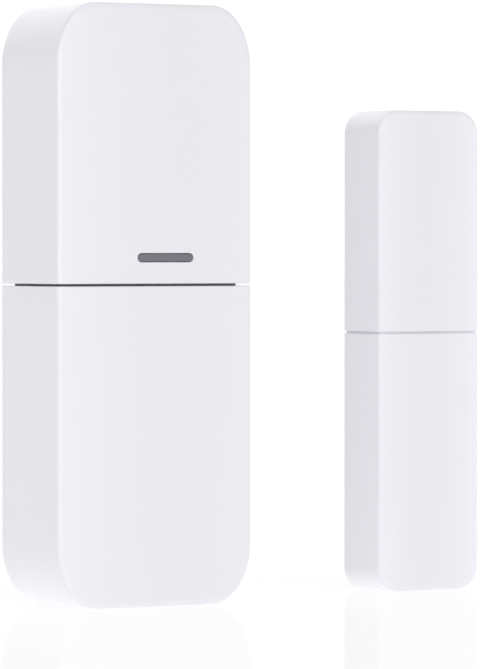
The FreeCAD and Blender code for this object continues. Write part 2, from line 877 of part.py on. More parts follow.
def main_nodes():
    return {
        "chassis": [chassis()],
        "dust_seal": [seal_ring()],
        "upper_housing": [upper_housing()],
        "led_window": [led_window()],
        "light_guide": [light_guide()],
        "status_led": [status_led()],
        "circuit_board": [circuit_board()],
        "reed_switch_glass": [reed_switch_glass()],
        "reed_switch_blades": [reed_blade(-1), reed_blade(1)],
        "antenna_coil": [antenna_coil()],
        "microcontroller_body": [microcontroller_body()],
        "microcontroller_legs": microcontroller_legs(),
        "radio_crystal": [radio_crystal()],
        "radio_transistor": [radio_transistor()],
        "chip_capacitors": board_blocks(capacitor_size, capacitor_places),
        "chip_resistors": board_blocks(resistor_size, resistor_places),
        "pairing_button_case": [switch_case(pairing_z, pairing_travel)],
        "pairing_button_plunger": [plunger(pairing_z, pairing_front())],
        "tamper_switch_case": [switch_case(tamper_z, 0)],
        "tamper_switch_plunger": [plunger(tamper_z, tamper_front())],
        "battery_can": [battery_can()],
        "battery_sleeve": [battery_sleeve_tube()],
        "positive_contact": [positive_contact()],
        "negative_contact": [negative_contact()],
        "negative_spring": [negative_spring()],
        "housing_screws": [housing_screw(-screw_x), housing_screw(screw_x)],
        "board_screw": [board_screw()],
        "frame_tape_pad": [tape_pad(main_tape_size, main_tape_bottom)],
        "battery_cover": [battery_cover()],
        "battery_foam_pad": [battery_foam_pad()],
    }


def magnet_nodes():
    tape_bottom = (magnet_height - magnet_tape_size[1]) / 2
    return {
        "magnet_base": [magnet_base()],
        "bar_magnet": [bar_magnet()],
        "door_tape_pad": [tape_pad(magnet_tape_size, tape_bottom)],
        "magnet_housing": [magnet_housing()],
        "magnet_foam_pad": [magnet_foam_pad()],
    }


def write(nodes, place):
    for node, shapes in nodes.items():
        solids = [solid for shape in shapes for solid in shape.Solids]
        shape = solids[0] if len(solids) == 1 else Part.makeCompound(solids)
        shape.translated(place).exportStep(f"parts/{node}.step")
        print(node, len(solids), all(s.isValid() for s in solids), round(shape.Volume, 2))


os.makedirs("parts", exist_ok=True)
write(main_nodes(), main_place)
write(magnet_nodes(), magnet_place)
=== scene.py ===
import math

import bmesh
import bpy
from bpy.props import FloatProperty, FloatVectorProperty, IntProperty, PointerProperty
from mathutils import Matrix, Vector


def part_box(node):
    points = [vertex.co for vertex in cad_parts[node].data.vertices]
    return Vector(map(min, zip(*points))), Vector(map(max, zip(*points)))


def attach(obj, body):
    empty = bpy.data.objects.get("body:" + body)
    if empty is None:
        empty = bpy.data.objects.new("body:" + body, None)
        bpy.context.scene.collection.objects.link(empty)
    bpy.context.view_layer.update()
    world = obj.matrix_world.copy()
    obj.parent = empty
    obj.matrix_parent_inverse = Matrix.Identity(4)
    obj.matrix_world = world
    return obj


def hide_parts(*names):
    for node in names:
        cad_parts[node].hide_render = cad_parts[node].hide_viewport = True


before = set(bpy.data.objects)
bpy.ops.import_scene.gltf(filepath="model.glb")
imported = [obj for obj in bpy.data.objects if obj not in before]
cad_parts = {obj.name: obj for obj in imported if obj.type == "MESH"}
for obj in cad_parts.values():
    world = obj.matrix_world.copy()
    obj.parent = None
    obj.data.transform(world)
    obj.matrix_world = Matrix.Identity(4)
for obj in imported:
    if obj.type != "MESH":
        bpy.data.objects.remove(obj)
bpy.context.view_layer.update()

bl_info = {
    "name": "Door contact sensor",
    "version": (1, 0, 0),
    "blender": (4, 5, 0),
    "location": "View3D > Sidebar > Sensor",
    "description": "Builds a wireless door contact sensor and its magnet unit round their frame",
    "category": "Object",
}

MM = 0.001

# Bodies of the frame that pieces ride on.
TRANSMITTER = "transmitter"
COVER = "cover"
PAIRING = "pairing_plunger"
TAMPER = "tamper_plunger"
MAGNET_UNIT = "magnet_unit"
MAGNET_SHELL = "magnet_shell"
MAGNET_BODIES = (MAGNET_UNIT, MAGNET_SHELL)


# ---------------------------------------------------------------- sizes and colours

def length(name, description, value, **more):
    """A length in metres, given in millimetres."""
    return FloatProperty(name=name, description=description, default=value * MM, min=0.0,
                         precision=5, unit="LENGTH", subtype="DISTANCE", **more)


def colour(name, description, value):
    return FloatVectorProperty(name=name, description=description, default=value, size=3,
                               min=0.0, max=1.0, subtype="COLOR")


class SensorSizes(bpy.types.PropertyGroup):
    """Sizes that shape the mouldings and the small parts."""

    corner_x: length("Corner width", "Width of the transmitter's elliptical corners", 5.2)
    corner_z: length("Corner height", "Height of the transmitter's elliptical corners", 7.2)
    front_edge: length("Front edge", "Radius of the transmitter's front edge", 0.75)
    wall: length("Wall", "Wall of the transmitter's shells", 1.2)
    lip: length("Seam lip", "Radius of the lips along the seam", 0.15)
    magnet_corner: length("Magnet corner", "Radius of the magnet unit's corners", 2.8)
    magnet_edge: length("Magnet front edge", "Radius of the magnet unit's front edge", 0.7)
    magnet_wall: length("Magnet wall", "Wall of the magnet unit's shell", 1.1)
    groove_height: length("Groove height", "Groove above the magnet unit's base", 32.3)
    groove_width: length("Groove width", "Width of the magnet unit's groove", 0.3)
    groove_depth: length("Groove depth", "Depth of the magnet unit's groove", 0.35)
    corner_steps: IntProperty(name="Corner steps", description="Faces round a corner",
                              default=24, min=4, max=64)
    grain: length("Grain", "Size of the spark-eroded grain on the white mouldings", 0.16)


class SensorColours(bpy.types.PropertyGroup):
    """Colours of the materials."""

    housing: colour("Housing", "White mouldings", (0.795, 0.787, 0.832))
    chassis: colour("Chassis", "Back plates", (0.70, 0.70, 0.72))
    # Partly painted shade: the seal is a real piece, but its grey is set to darken the line
    # along the seam to the depth of the shade in the slit.
    seal: colour("Seal", "Rubber in the seam", (0.45, 0.45, 0.46))
    window: colour("Window", "Smoked window over the lamp", (0.109, 0.113, 0.142))
    board: colour("Board", "Solder mask", (0.012, 0.115, 0.05))
    wrap: colour("Battery wrap", "Shrink wrap of the battery", (0.02, 0.035, 0.09))
    wrap_band: colour("Battery band", "Band at the battery's button end", (0.62, 0.36, 0.10))
    button: colour("Button", "Pairing button", (0.55, 0.03, 0.02))
    foam: colour("Foam", "Foam pads", (0.05, 0.05, 0.055))
    tape: colour("Tape", "Foam adhesive pads", (0.72, 0.72, 0.69))
    liner: colour("Liner", "Release liner on the adhesive pads", (0.60, 0.66, 0.74))


def sizes():
    return bpy.context.scene.sensor_sizes


def colours():
    return bpy.context.scene.sensor_colours


# ---------------------------------------------------------------- mesh helpers
# Pieces are drawn in millimetres with their unit's middle at X = 0, its rims at Y = 0
# and its front towards -Y, then placed in the frame.

# Lengths below the first count as nothing; points closer than the second are one.
TINY, MERGE = 1e-6, 1e-5
CORNERS = ((-1, -1), (1, -1), (1, 1), (-1, 1))
SMOOTH_ANGLE, COIL_ANGLE = 32.0, 60.0


def drawn(shape, *given, **more):
    """A new bmesh with one shape drawn in it."""
    bm = bmesh.new()
    shape(bm, *given, **more)
    return bm


def bevel(bm, edges, offset, segments=2, clamp=True, **more):
    """Rounds edges over."""
    return bmesh.ops.bevel(bm, geom=list(edges), offset=offset, segments=segments,
                           profile=0.5, affect="EDGES", clamp_overlap=clamp, **more)


def quarter(steps):
    """(sine, one minus cosine) at even steps over a quarter turn."""
    turns = [math.pi / 2 * i / steps for i in range(steps + 1)]
    return [(math.sin(a), 1 - math.cos(a)) for a in turns]


def rounded_box(bm, low, high, radius, segments=3, along=None, index=0):
    """Box with rounded edges: all of them, or only those that run along one axis."""
    low, high = Vector(low), Vector(high)
    made = bmesh.ops.create_cube(bm, size=1.0)["verts"]
    for v in made:
        v.co = Vector([low[i] + (v.co[i] + 0.5) * (high[i] - low[i]) for i in range(3)])
    edges = {e for v in made for e in v.link_edges}
    if along is not None:
        edges = {e for e in edges if abs((e.verts[0].co - e.verts[1].co)[along]) > TINY}
    faces = {f for v in made for f in v.link_faces}
    if radius > 0:
        result = bevel(bm, edges, radius, segments)
        faces = {f for f in faces if f.is_valid} | set(result["faces"])
    for f in faces:
        f.material_index = index


def block(bm, x, z, half_x, half_z, front, back, radius, segments=2, **more):
    """Rounded box given by its middle in X and Z, half its sizes, its front and back."""
    rounded_box(bm, (x - half_x, front, z - half_z), (x + half_x, back, z + half_z), radius,
                segments, **more)


def skin_rings(bm, rings, index=0):
    """Faces between rings of equally many vertices, with a cap on each end."""
    faces = []
    count = len(rings[0])
    for first, second in zip(rings, rings[1:]):
        for i in range(count):
            j = (i + 1) % count
            faces.append(bm.faces.new((first[i], first[j], second[j], second[i])))
    for f in faces + [bm.faces.new(rings[0]), bm.faces.new(rings[-1])]:
        f.material_index = index


def prism(bm, outline, ends, along="Z", index=0):
    """Solid with the same outline at two distances along Z or Y."""
    rings = [[bm.verts.new((a, b, end) if along == "Z" else (a, end, b)) for a, b in outline]
             for end in ends]
    skin_rings(bm, rings, index)


def stack(bm, x, z, levels, index=0):
    """Solid with a rectangle at each level: (y, half of its width, half of its height)."""
    rings = [[bm.verts.new((x + a * w, y, z + b * h)) for a, b in CORNERS]
             for y, w, h in levels]
    skin_rings(bm, rings, index)


def corner_points(width, low, high, corner_x, corner_z, steps):
    """Points and outward normals round a slab with elliptical corners, in an XZ plane."""
    found = []
    for x_side, z_side, start in ((1, 1, 0), (-1, 1, 90), (-1, -1, 180), (1, -1, 270)):
        middle_x = x_side * (width / 2 - corner_x)
        middle_z = high - corner_z if z_side > 0 else low + corner_z
        for i in range(steps + 1):
            a = math.radians(start + 90 * i / steps)
            normal = Vector((math.cos(a) / corner_x, 0, math.sin(a) / corner_z))
            place = Vector((middle_x + corner_x * math.cos(a), 0,
                            middle_z + corner_z * math.sin(a)))
            found.append((place, normal.normalized()))
    return found


def slab(bm, width, low, high, corner_x, corner_z, profile, steps=24, centre_x=0.0, index=0):
    """Upright slab along Y. The profile is (inset, y) pairs from one end to the other."""
    points = corner_points(width, low, high, corner_x, corner_z, steps)
    rings = [[bm.verts.new(p - n * inset + Vector((centre_x, y, 0))) for p, n in points]
             for inset, y in profile]
    skin_rings(bm, rings, index)


def round_ended(bm, x, z, width, height, profile, steps=16):
    """Slab with round ends."""
    end = height / 2 - 1e-4
    slab(bm, width, z - height / 2, z + height / 2, end, end, profile, steps, x)


def edge_profile(back, front, radius, steps=8, back_radius=0.0):
    """Wall profile with a rounded front edge, and a rounded back edge if asked."""
    side = 1 if back > front else -1
    found = []
    if back_radius:
        found = [(back_radius * (1 - s), back - side * back_radius * c)
                 for s, c in quarter(steps)[:-1]]
    found.append((0.0, back - side * back_radius))
    return found + [(radius * c, front + side * radius * (1 - s)) for s, c in quarter(steps)]


def lathe(bm, profile, centre, axis="Y", segments=48, index=0):
    """Solid of revolution. The profile is (radius, distance along the axis) pairs."""
    rings = []
    for radius, along in profile:
        ring = []
        for i in range(segments if radius > TINY else 1):
            angle = 2 * math.pi * i / segments
            a, b = radius * math.cos(angle), radius * math.sin(angle)
            place = (a, along, b) if axis == "Y" else (a, b, along)
            ring.append(bm.verts.new(Vector(centre) + Vector(place)))
        rings.append(ring)
    faces = []
    for first, second in zip(rings, rings[1:]):
        for i in range(segments):
            j = (i + 1) % segments
            corners = [first[i % len(first)], first[j % len(first)],
                       second[j % len(second)], second[i % len(second)]]
            unique = list(dict.fromkeys(corners))
            if len(unique) > 2:
                faces.append(bm.faces.new(unique))
    faces += [bm.faces.new(ring) for ring in (rings[0], rings[-1]) if len(ring) > 1]
    for f in faces:
        f.material_index = index


def rod(bm, radius, x, z, back, front, edge=0.0, segments=40):
    """Round rod along Y with an eased front end."""
    side = 1 if back > front else -1
    bend = quarter(4) if edge else [(0.0, 0.0)]
    eased_end = [(radius - edge * c, front + side * edge * (1 - s)) for s, c in bend]
    lathe(bm, [(0.0, back), (radius, back), *eased_end, (0.0, front)], (x, 0, z), "Y",
          segments)


def threaded(bm, outer, core, pitch, x, z, start, end):
    """Screw shank along Y with a V thread and a pointed end."""
    sides, rings_per_turn, tip, taper = 32, 8, 0.3, 7
    count = max(2, int(abs(end - start) / pitch * rings_per_turn))
    rings = []
    for k in range(count + 1):
        t = k / count
        y = start + (end - start) * t
        ring = []
        for i in range(sides):
            angle = 2 * math.pi * i / sides
            phase = (abs(y - start) / pitch - i / sides) % 1.0
            ridge = max(0.0, 1 - abs(phase - 0.5) * 4)
            radius = (core + (outer - core) * ridge) * min(1.0, tip + (1 - t) * taper)
            ring.append(bm.verts.new((x + radius * math.cos(angle), y,
                                      z + radius * math.sin(angle))))
        rings.append(ring)
    skin_rings(bm, rings)


def tangents(points):
    """The way a line of vectors runs at each of its points."""
    last = len(points) - 1
    return [(points[min(i + 1, last)] - points[max(i - 1, 0)]).normalized()
            for i in range(last + 1)]


def tube(bm, points, radius, sides=12):
    """Wire of even thickness along a line of points, closed at both ends."""
    points = [Vector(p) for p in points]
    turns = [2 * math.pi * i / sides for i in range(sides)]
    ways = tangents(points)
    side = ways[0].orthogonal().normalized()
    rings = []
    for point, tangent in zip(points, ways):
        side = (side - side.dot(tangent) * tangent).normalized()
        up = tangent.cross(side)
        rings.append([bm.verts.new(point + radius * (math.cos(a) * side + math.sin(a) * up))
                      for a in turns])
    skin_rings(bm, rings)


def eased(points, radius, steps=6):
    """A line of points with its inner corners rounded."""
    points = [Vector(p) for p in points]
    found = [points[0]]
    for before, corner, after in zip(points, points[1:], points[2:]):
        start = corner + (before - corner).normalized() * radius
        end = corner + (after - corner).normalized() * radius
        for i in range(steps + 1):
            t = i / steps
            found.append(start.lerp(corner, t).lerp(corner.lerp(end, t), t))
    return found + [points[-1]]


def ribbon(bm, path, across, width, thickness, index=0):
    """Flat strip of metal bent along a path of vectors; across is the way of its width."""
    across = Vector(across).normalized()
    rings = []
    for point, tangent in zip(path, tangents(path)):
        up = tangent.cross(across).normalized() * thickness / 2
        half = across * width / 2
        rings.append([bm.verts.new(point + a * half + b * up) for a, b in CORNERS])
    skin_rings(bm, rings, index)


def solid(bm):
    """Temporary object from a bmesh, for cutting and joining."""
    bmesh.ops.recalc_face_normals(bm, faces=bm.faces)
    mesh = bpy.data.meshes.new("solid")
    bm.to_mesh(mesh)
    bm.free()
    made = bpy.data.objects.new("solid", mesh)
    bpy.context.scene.collection.objects.link(made)
    return made


def drop(made):
    mesh = made.data
    bpy.data.objects.remove(made)
    bpy.data.meshes.remove(mesh)


def reopened(*held):
    """A bmesh of temporary objects, which are dropped."""
    bm = bmesh.new()
    for made in held:
        bm.from_mesh(made.data)
        drop(made)
    return bm


def combine(target, tool, operation):
    """Joins a tool to a temporary object, or cuts it away, and drops the tool."""
    step = target.modifiers.new("combine", "BOOLEAN")
    step.operation = operation
    step.solver = "EXACT"
    step.object = tool
    depsgraph = bpy.context.evaluated_depsgraph_get()
    depsgraph.update()
    mesh = bpy.data.meshes.new_from_object(target.evaluated_get(depsgraph))
    target.modifiers.remove(step)
    old = target.data
    target.data = mesh
    bpy.data.meshes.remove(old)
    drop(tool)
    if not mesh.polygons:
        raise RuntimeError("a boolean left nothing")


def cut(target, shape, *given, **more):
    combine(target, solid(drawn(shape, *given, **more)), "DIFFERENCE")


def join(target, shape, *given, **more):
    combine(target, solid(drawn(shape, *given, **more)), "UNION")


def piece(name, source, replaced, slot, *finishes, body=TRANSMITTER, angle=SMOOTH_ANGLE):
    """Places a bmesh or temporary object in the frame as a finished piece."""
    made = source if isinstance(source, bpy.types.Object) else solid(source)
    low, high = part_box("magnet_housing" if body in MAGNET_BODIES else "battery_cover")
    place = Vector(((low.x + high.x) / 2, high.y, 0.0))
    mesh = made.data
    mesh.transform(Matrix.Translation(place) @ Matrix.Scale(MM, 4))
    made.name = mesh.name = name
    mesh.polygons.foreach_set("use_smooth", [True] * len(mesh.polygons))
    mesh.set_sharp_from_angle(angle=math.radians(angle))
    made.modifiers.new("weighted", "WEIGHTED_NORMAL").keep_sharp = True
    indices = [0] * len(mesh.polygons)
    mesh.polygons.foreach_get("material_index", indices)
    mesh.materials.clear()
    for held in finishes:
        mesh.materials.append(finish(held))
    mesh.polygons.foreach_set("material_index", indices)
    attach(made, body)
    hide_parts(replaced)
    return made


def dress(name, material):
    """Puts a material on a node of the frame."""
    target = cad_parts[name]
    if not target.material_slots:
        raise RuntimeError(f"{name} has no material slot")
    for held in target.material_slots:
        held.material = material


# ---------------------------------------------------------------- node groups

def feed(tree, target, inputs):
    """Gives a node's inputs: each is a value, or a socket to link from."""
    for key, value in inputs.items():
        if isinstance(value, bpy.types.NodeSocket):
            tree.links.new(value, target.inputs[key])
        else:
            target.inputs[key].default_value = value


def node(tree, kind, inputs=(), **settings):
    made = tree.nodes.new("ShaderNode" + kind)
    for name, value in settings.items():
        setattr(made, name, value)
    feed(tree, made, dict(inputs))
    return made


def noise(tree, place, scale, detail=2.0, rough=0.5):
    return node(tree, "TexNoise", {"Vector": place, "Scale": scale, "Detail": detail,
                                   "Roughness": rough}).outputs["Fac"]


def maths(tree, operation, *values):
    return node(tree, "Math", enumerate(values), operation=operation).outputs[0]


def mapped(tree, value, low, high, new_low, new_high):
    return node(tree, "MapRange", {"Value": value, "From Min": low, "From Max": high,
                                   "To Min": new_low, "To Max": new_high}).outputs["Result"]


def shade(tree, tint, level):
    return node(tree, "VectorMath", {0: tint, "Scale": level}, operation="SCALE").outputs[0]


def moulded_skin(tree, place, given):
    """Moulded plastic: cloudy tone, a band of painted shade across X, uneven gloss and a fine
    eroded grain.
    """
    level = maths(tree, "MULTIPLY_ADD", given["Tone"], -0.5, 1.0)
    tone = maths(tree, "MULTIPLY_ADD", noise(tree, place, 90.0, 3.0), given["Tone"], level)
    # Painted shade: the colour is darkest at the band's place across X and grows paler to either
    # side, standing in for how the light falls over the front.
    across = node(tree, "SeparateXYZ", {0: place}).outputs["X"]
    away = maths(tree, "SUBTRACT", across, given["Dip place"])
    share = maths(tree, "DIVIDE", away, given["Dip reach"])
    square = maths(tree, "MULTIPLY", share, share)
    tone_and_shade = maths(tree, "MULTIPLY_ADD", square, given["Dip depth"], tone)
    centred = maths(tree, "SUBTRACT", noise(tree, place, 260.0, 4.0, 0.6), 0.5)
    gloss = maths(tree, "MULTIPLY_ADD", centred, given["Unevenness"], given["Roughness"])
    pitch = maths(tree, "DIVIDE", MM_PER_METRE, given["Grain size"])
    return shade(tree, given["Colour"], tone_and_shade), gloss, noise(tree, place, pitch, 2.0, 0.55)


def drawn_metal(tree, place, given):
    """Drawn or plated metal: streaks along one axis and small marks."""
    stretched = node(tree, "VectorMath", {0: place, 1: given["Stretch"]},
                     operation="MULTIPLY").outputs[0]
    streak = noise(tree, stretched, 9000.0, 3.0, 0.6)
    tone = mapped(tree, noise(tree, place, 400.0, 3.0), 0.25, 0.75, 0.86, 1.08)
    spread = mapped(tree, streak, 0.2, 0.8, -0.09, 0.13)
    gloss = maths(tree, "ADD", spread, given["Roughness"])
    return shade(tree, given["Colour"], tone), gloss, streak


def foam_cells(tree, place, given):
    """Closed-cell foam: round pores, darker in their hollows as painted shade, with paler rims,
    evenly dull.
    """
    cells = node(tree, "TexVoronoi", {"Vector": place, "Scale": given["Cells"]})
    distance = cells.outputs["Distance"]
    # Painted shade: the colour darkens towards each cell's middle, where the relief is lowest.
    tone = mapped(tree, distance, 0.0, 0.7, 0.72, 1.1)
    return shade(tree, given["Colour"], tone), given["Roughness"], distance


MM_PER_METRE = 1000.0
SOCKET_KINDS = {1: "NodeSocketFloat", 3: "NodeSocketVector", 4: "NodeSocketColor"}
GROUP_OUTPUTS = {"Colour": 4, "Roughness": 1, "Height": 1}
# Each shared group: what fills it, and its inputs with their first values.
GROUPS = {
    "Moulded skin": (moulded_skin, {
        # The band inputs of the moulded skin paint a darker band of shade across X.
        "Colour": (0.8, 0.8, 0.8, 1.0), "Tone": 0.02, "Roughness": 0.45, "Unevenness": 0.06,
        "Grain size": 0.16, "Dip place": 0.0, "Dip reach": 1.0, "Dip depth": 0.0}),
    "Drawn metal": (drawn_metal, {
        "Colour": (0.7, 0.7, 0.7, 1.0), "Roughness": 0.3, "Stretch": (1.0, 1.0, 0.05)}),
    "Foam cells": (foam_cells, {
        "Colour": (0.7, 0.7, 0.7, 1.0), "Roughness": 0.9, "Cells": 3200.0}),
}


def shared_group(name):
    """The node group of a name, made the first time it is asked for."""
    found = bpy.data.node_groups.get(name)
    if found:
        return found
    fill, inputs = GROUPS[name]
    tree = bpy.data.node_groups.new(name, "ShaderNodeTree")
    for label, value in inputs.items():
        size = len(value) if isinstance(value, tuple) else 1
        socket = tree.interface.new_socket(name=label, in_out="INPUT",
                                           socket_type=SOCKET_KINDS[size])
        socket.default_value = value
    for label, size in GROUP_OUTPUTS.items():
        tree.interface.new_socket(name=label, in_out="OUTPUT", socket_type=SOCKET_KINDS[size])
    given = tree.nodes.new("NodeGroupInput").outputs
    out = tree.nodes.new("NodeGroupOutput")
    place = node(tree, "TexCoord").outputs["Object"]
    feed(tree, out, dict(zip(GROUP_OUTPUTS, fill(tree, place, given))))
    return tree


# ---------------------------------------------------------------- materials

def principled(name):
    """A new material: (material, its node tree, its shader)."""
    made = bpy.data.materials.new(name)
    made.use_nodes = True
    return made, made.node_tree, made.node_tree.nodes["Principled BSDF"]


def bump(tree, height, strength, depth):
    return node(tree, "Bump", {"Height": height, "Strength": strength,
                               "Distance": depth * MM}).outputs["Normal"]


def grouped(name, group, values, strength, depth, sockets):
    """Material whose colour, gloss and relief come from a shared group."""
    made, tree, shader = principled(name)
    skin = node(tree, "Group", enumerate(values), node_tree=shared_group(group)).outputs
    feed(tree, shader, {"Base Color": skin["Colour"], "Roughness": skin["Roughness"],
                        "Normal": bump(tree, skin["Height"], strength, depth)})
    feed(tree, shader, {label.replace("_", " "): value for label, value in sockets.items()})
    return made


def plastic(name, tint, roughness=0.45, tone=0.03, uneven=0.08, grain=0.16,
            depth=0.012, strength=0.25, dip=(0.0, 1.0, 0.0), **sockets):
    """Moulded plastic or rubber."""
    values = (*tint, 1.0), tone, roughness, uneven, grain, *dip
    return grouped(name, "Moulded skin", values, strength, depth, sockets)


def metal(name, tint, roughness=0.28, stretch=(1.0, 1.0, 0.05), strength=0.15):
    """Plated or drawn metal."""
    values = (*tint, 1.0), roughness, stretch
    return grouped(name, "Drawn metal", values, strength, 0.01, {"Metallic": 1.0})


def foam(name, tint, cells):
    values = (*tint, 1.0), FOAM_ROUGHNESS, cells
    return grouped(name, "Foam cells", values, 0.6, 0.08, {})


def clear(name, tint, ior, roughness):
    """Clear resin or glass: plain metallic and transmission, with a faint ripple."""
    made, tree, shader = principled(name)
    ripple = noise(tree, node(tree, "TexCoord").outputs["Object"], 900.0)
    feed(tree, shader, {"Base Color": (*tint, 1.0), "Transmission Weight": 1.0, "IOR": ior,
                        "Roughness": roughness, "Normal": bump(tree, ripple, 0.1, 0.004)})
    return made


def white(name, tint, moulding, share, fall):
    """White moulding with a band of painted shade, darkest at a share of its width and paler to
    either side.
    """
    low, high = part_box(moulding)
    reach = high.x - low.x
    return plastic(name, tint, 0.42, tone=0.012, uneven=0.05, grain=sizes().grain / MM,
                   depth=0.006, strength=0.18, dip=(low.x + share * reach, reach, fall))


def track(name, tint, **more):
    """Solder mask over copper, which is paler than the mask on the board."""
    return plastic(name, [min(1.0, c * 1.7 + 0.012) for c in tint], **more)


FOAM_ROUGHNESS = 0.9
EVEN = (1.0, 1.0, 1.0)
MAIN_WHITE, MAGNET_WHITE = "White battery_cover", "White magnet_housing"
WRAP = dict(roughness=0.24, tone=0.05, uneven=0.04, depth=0.01, strength=0.1,
            Coat_Weight=0.4)
# Each finish: what makes it, its tint or the colour that holds it, and its settings.
FINISHES = {
    # Painted shade: each white moulding gets a darker upright band at a share of its width,
    # paler to either side.
    MAIN_WHITE: (white, "housing", dict(moulding="battery_cover", share=0.62, fall=0.18)),
    MAGNET_WHITE: (white, "housing", dict(moulding="magnet_housing", share=0.47, fall=0.32)),
    "Chassis plastic": (plastic, "chassis", dict(roughness=0.5)),
    # The seal's grey is partly painted shade that darkens the seam line.
    "Seal rubber": (plastic, "seal", dict(roughness=0.75, tone=0.1, depth=0.03)),
    "Smoked window": (plastic, "window", dict(
        roughness=0.2, tone=0.04, uneven=0.04, depth=0.003, strength=0.08, Coat_Weight=0.6,
        Coat_Roughness=0.08)),
    "Clear acrylic": (clear, (0.97, 0.98, 0.98), dict(ior=1.49, roughness=0.05)),
    "Lamp base": (plastic, (0.8, 0.78, 0.72), {}),
    "Lamp resin": (plastic, (0.75, 0.62, 0.12), dict(
        roughness=0.15, tone=0.05, depth=0.002, strength=0.05, Coat_Weight=0.5)),
    "Solder": (metal, (0.72, 0.72, 0.70), dict(roughness=0.3, stretch=EVEN, strength=0.3)),
    "Board mask": (plastic, "board", dict(
        roughness=0.28, tone=0.12, grain=0.5, depth=0.008, Coat_Weight=0.35)),
    "Board track": (track, "board", dict(
        roughness=0.25, tone=0.1, grain=0.5, depth=0.006, strength=0.2, Coat_Weight=0.35)),
    "Board print": (plastic, (0.8, 0.8, 0.78), dict(roughness=0.5, tone=0.06)),
    "Board edge": (plastic, (0.30, 0.31, 0.16), dict(
        roughness=0.6, tone=0.2, grain=0.3, depth=0.03, strength=0.5)),
    "Black epoxy": (plastic, (0.02, 0.02, 0.021), dict(
        roughness=0.5, tone=0.15, grain=0.08, depth=0.015, strength=0.5)),
    "Crystal can": (metal, (0.72, 0.72, 0.71), dict(roughness=0.22)),
    "Capacitor ceramic": (plastic, (0.33, 0.20, 0.11), dict(roughness=0.35)),
    "Resistor black": (plastic, (0.015, 0.015, 0.017), dict(roughness=0.3)),
    "Resistor ceramic": (plastic, (0.75, 0.74, 0.70), dict(roughness=0.5)),
    "Reed glass": (clear, (0.80, 0.93, 0.86), dict(ior=1.5, roughness=0.02)),
    "Reed alloy": (metal, (0.62, 0.60, 0.55), dict(roughness=0.25)),
    "Copper enamel": (plastic, (0.45, 0.13, 0.035), dict(
        roughness=0.22, tone=0.12, depth=0.004, Metallic=0.85)),
    "Switch black": (plastic, (0.018, 0.018, 0.02), dict(roughness=0.4)),
    "Switch plate": (metal, (0.78, 0.78, 0.76), dict(roughness=0.3)),
    "Pairing_plunger plastic": (plastic, "button", dict(roughness=0.35)),
    "Tamper_plunger plastic": (plastic, (0.02, 0.02, 0.022), dict(roughness=0.35)),
    "Battery steel": (metal, (0.68, 0.68, 0.69), dict(
        roughness=0.25, stretch=(0.05, 0.05, 1.0))),
    "Battery wrap": (plastic, "wrap", WRAP),
    "Battery band": (plastic, "wrap_band", WRAP),
    "Contact nickel": (metal, (0.70, 0.67, 0.60), dict(roughness=0.24)),
    "Spring wire": (metal, (0.66, 0.65, 0.62), dict(roughness=0.22)),
    "Screw zinc": (metal, (0.60, 0.61, 0.62), {}),
    "Tape foam": (foam, "tape", dict(cells=4200.0)),
    "Liner paper": (plastic, "liner", dict(
        roughness=0.38, tone=0.04, uneven=0.1, grain=0.4, depth=0.01, strength=0.3)),
    "Pad foam": (foam, "foam", dict(cells=2600.0)),
    "Magnet nickel": (metal, (0.66, 0.65, 0.63), dict(roughness=0.2, stretch=EVEN)),
}


def finish(name):
    """The material of a name, made the first time it is asked for."""
    found = bpy.data.materials.get(name)
    if found:
        return found
    make, tint, settings = FINISHES[name]
    return make(name, getattr(colours(), tint) if isinstance(tint, str) else tint, **settings)


# ---------------------------------------------------------------- shared places

RIM_DEPTH, RIM_EDGE = 14.5, 0.12
MAIN_WIDTH, MAIN_HEIGHT = 26.5, 72.0
MAGNET_WIDTH, MAGNET_HEIGHT, MAGNET_DEPTH = 14.8, 60.0, 8.4
GROOVE_EDGE = 0.09
SEAM, SEAM_GAP = 38.45, 0.30
INSIDE = -13.3
PLATE = -1.8
BOARD_BACK, BOARD_FRONT = -3.8, -4.8
BOARD_HALF, BOARD_LOW, BOARD_HIGH = 11.5, 40.9, 62.0
TONGUE = (-10.9, -6.3, 9.0)
WINDOW = (1.25, 41.7, 7.7, 1.1)
BATTERY_Y, BATTERY_R = -7.25, 5.15
BATTERY_LOW, BATTERY_HIGH = 5.5, 34.0
SWITCH_X, TAMPER_Z, PAIRING_Z = -8.6, 26.2, 15.2
SWITCH_FRONT = -8.1
CHIP = (-1.6, 55.0)
# Each leg of the controller: its side, and how far it is above the middle.
CHIP_LEGS = [(side, (i - 1.5) * 1.27) for side in (-1, 1) for i in range(4)]
CRYSTAL = (0.6, 47.0)
TRANSISTOR = (4.6, 56.6)
CAPACITORS = ((-4.4, 59.2), (3.2, 59.9), (5.2, 52.6), (-4.9, 50.9))
RESISTORS = ((2.0, 52.4), (3.5, 52.4), (-2.4, 43.3), (-8.6, 20.6), (-8.6, 31.6))
REED_X, REED_Z, REED_Y, REED_R, REED_REACH = 8.6, 51.5, -6.4, 1.1, 9.0
COIL_X, COIL_Z, COIL_R, COIL_WIRE, COIL_PITCH, COIL_TURNS = -8.2, 45.0, 2.1, 0.35, 1.6, 8
COIL_END = COIL_Z + COIL_PITCH * COIL_TURNS
SCREWS_X, SCREW_Z = (-6.0, 6.0), 66.3
BOARD_SCREW_Z = 59.4
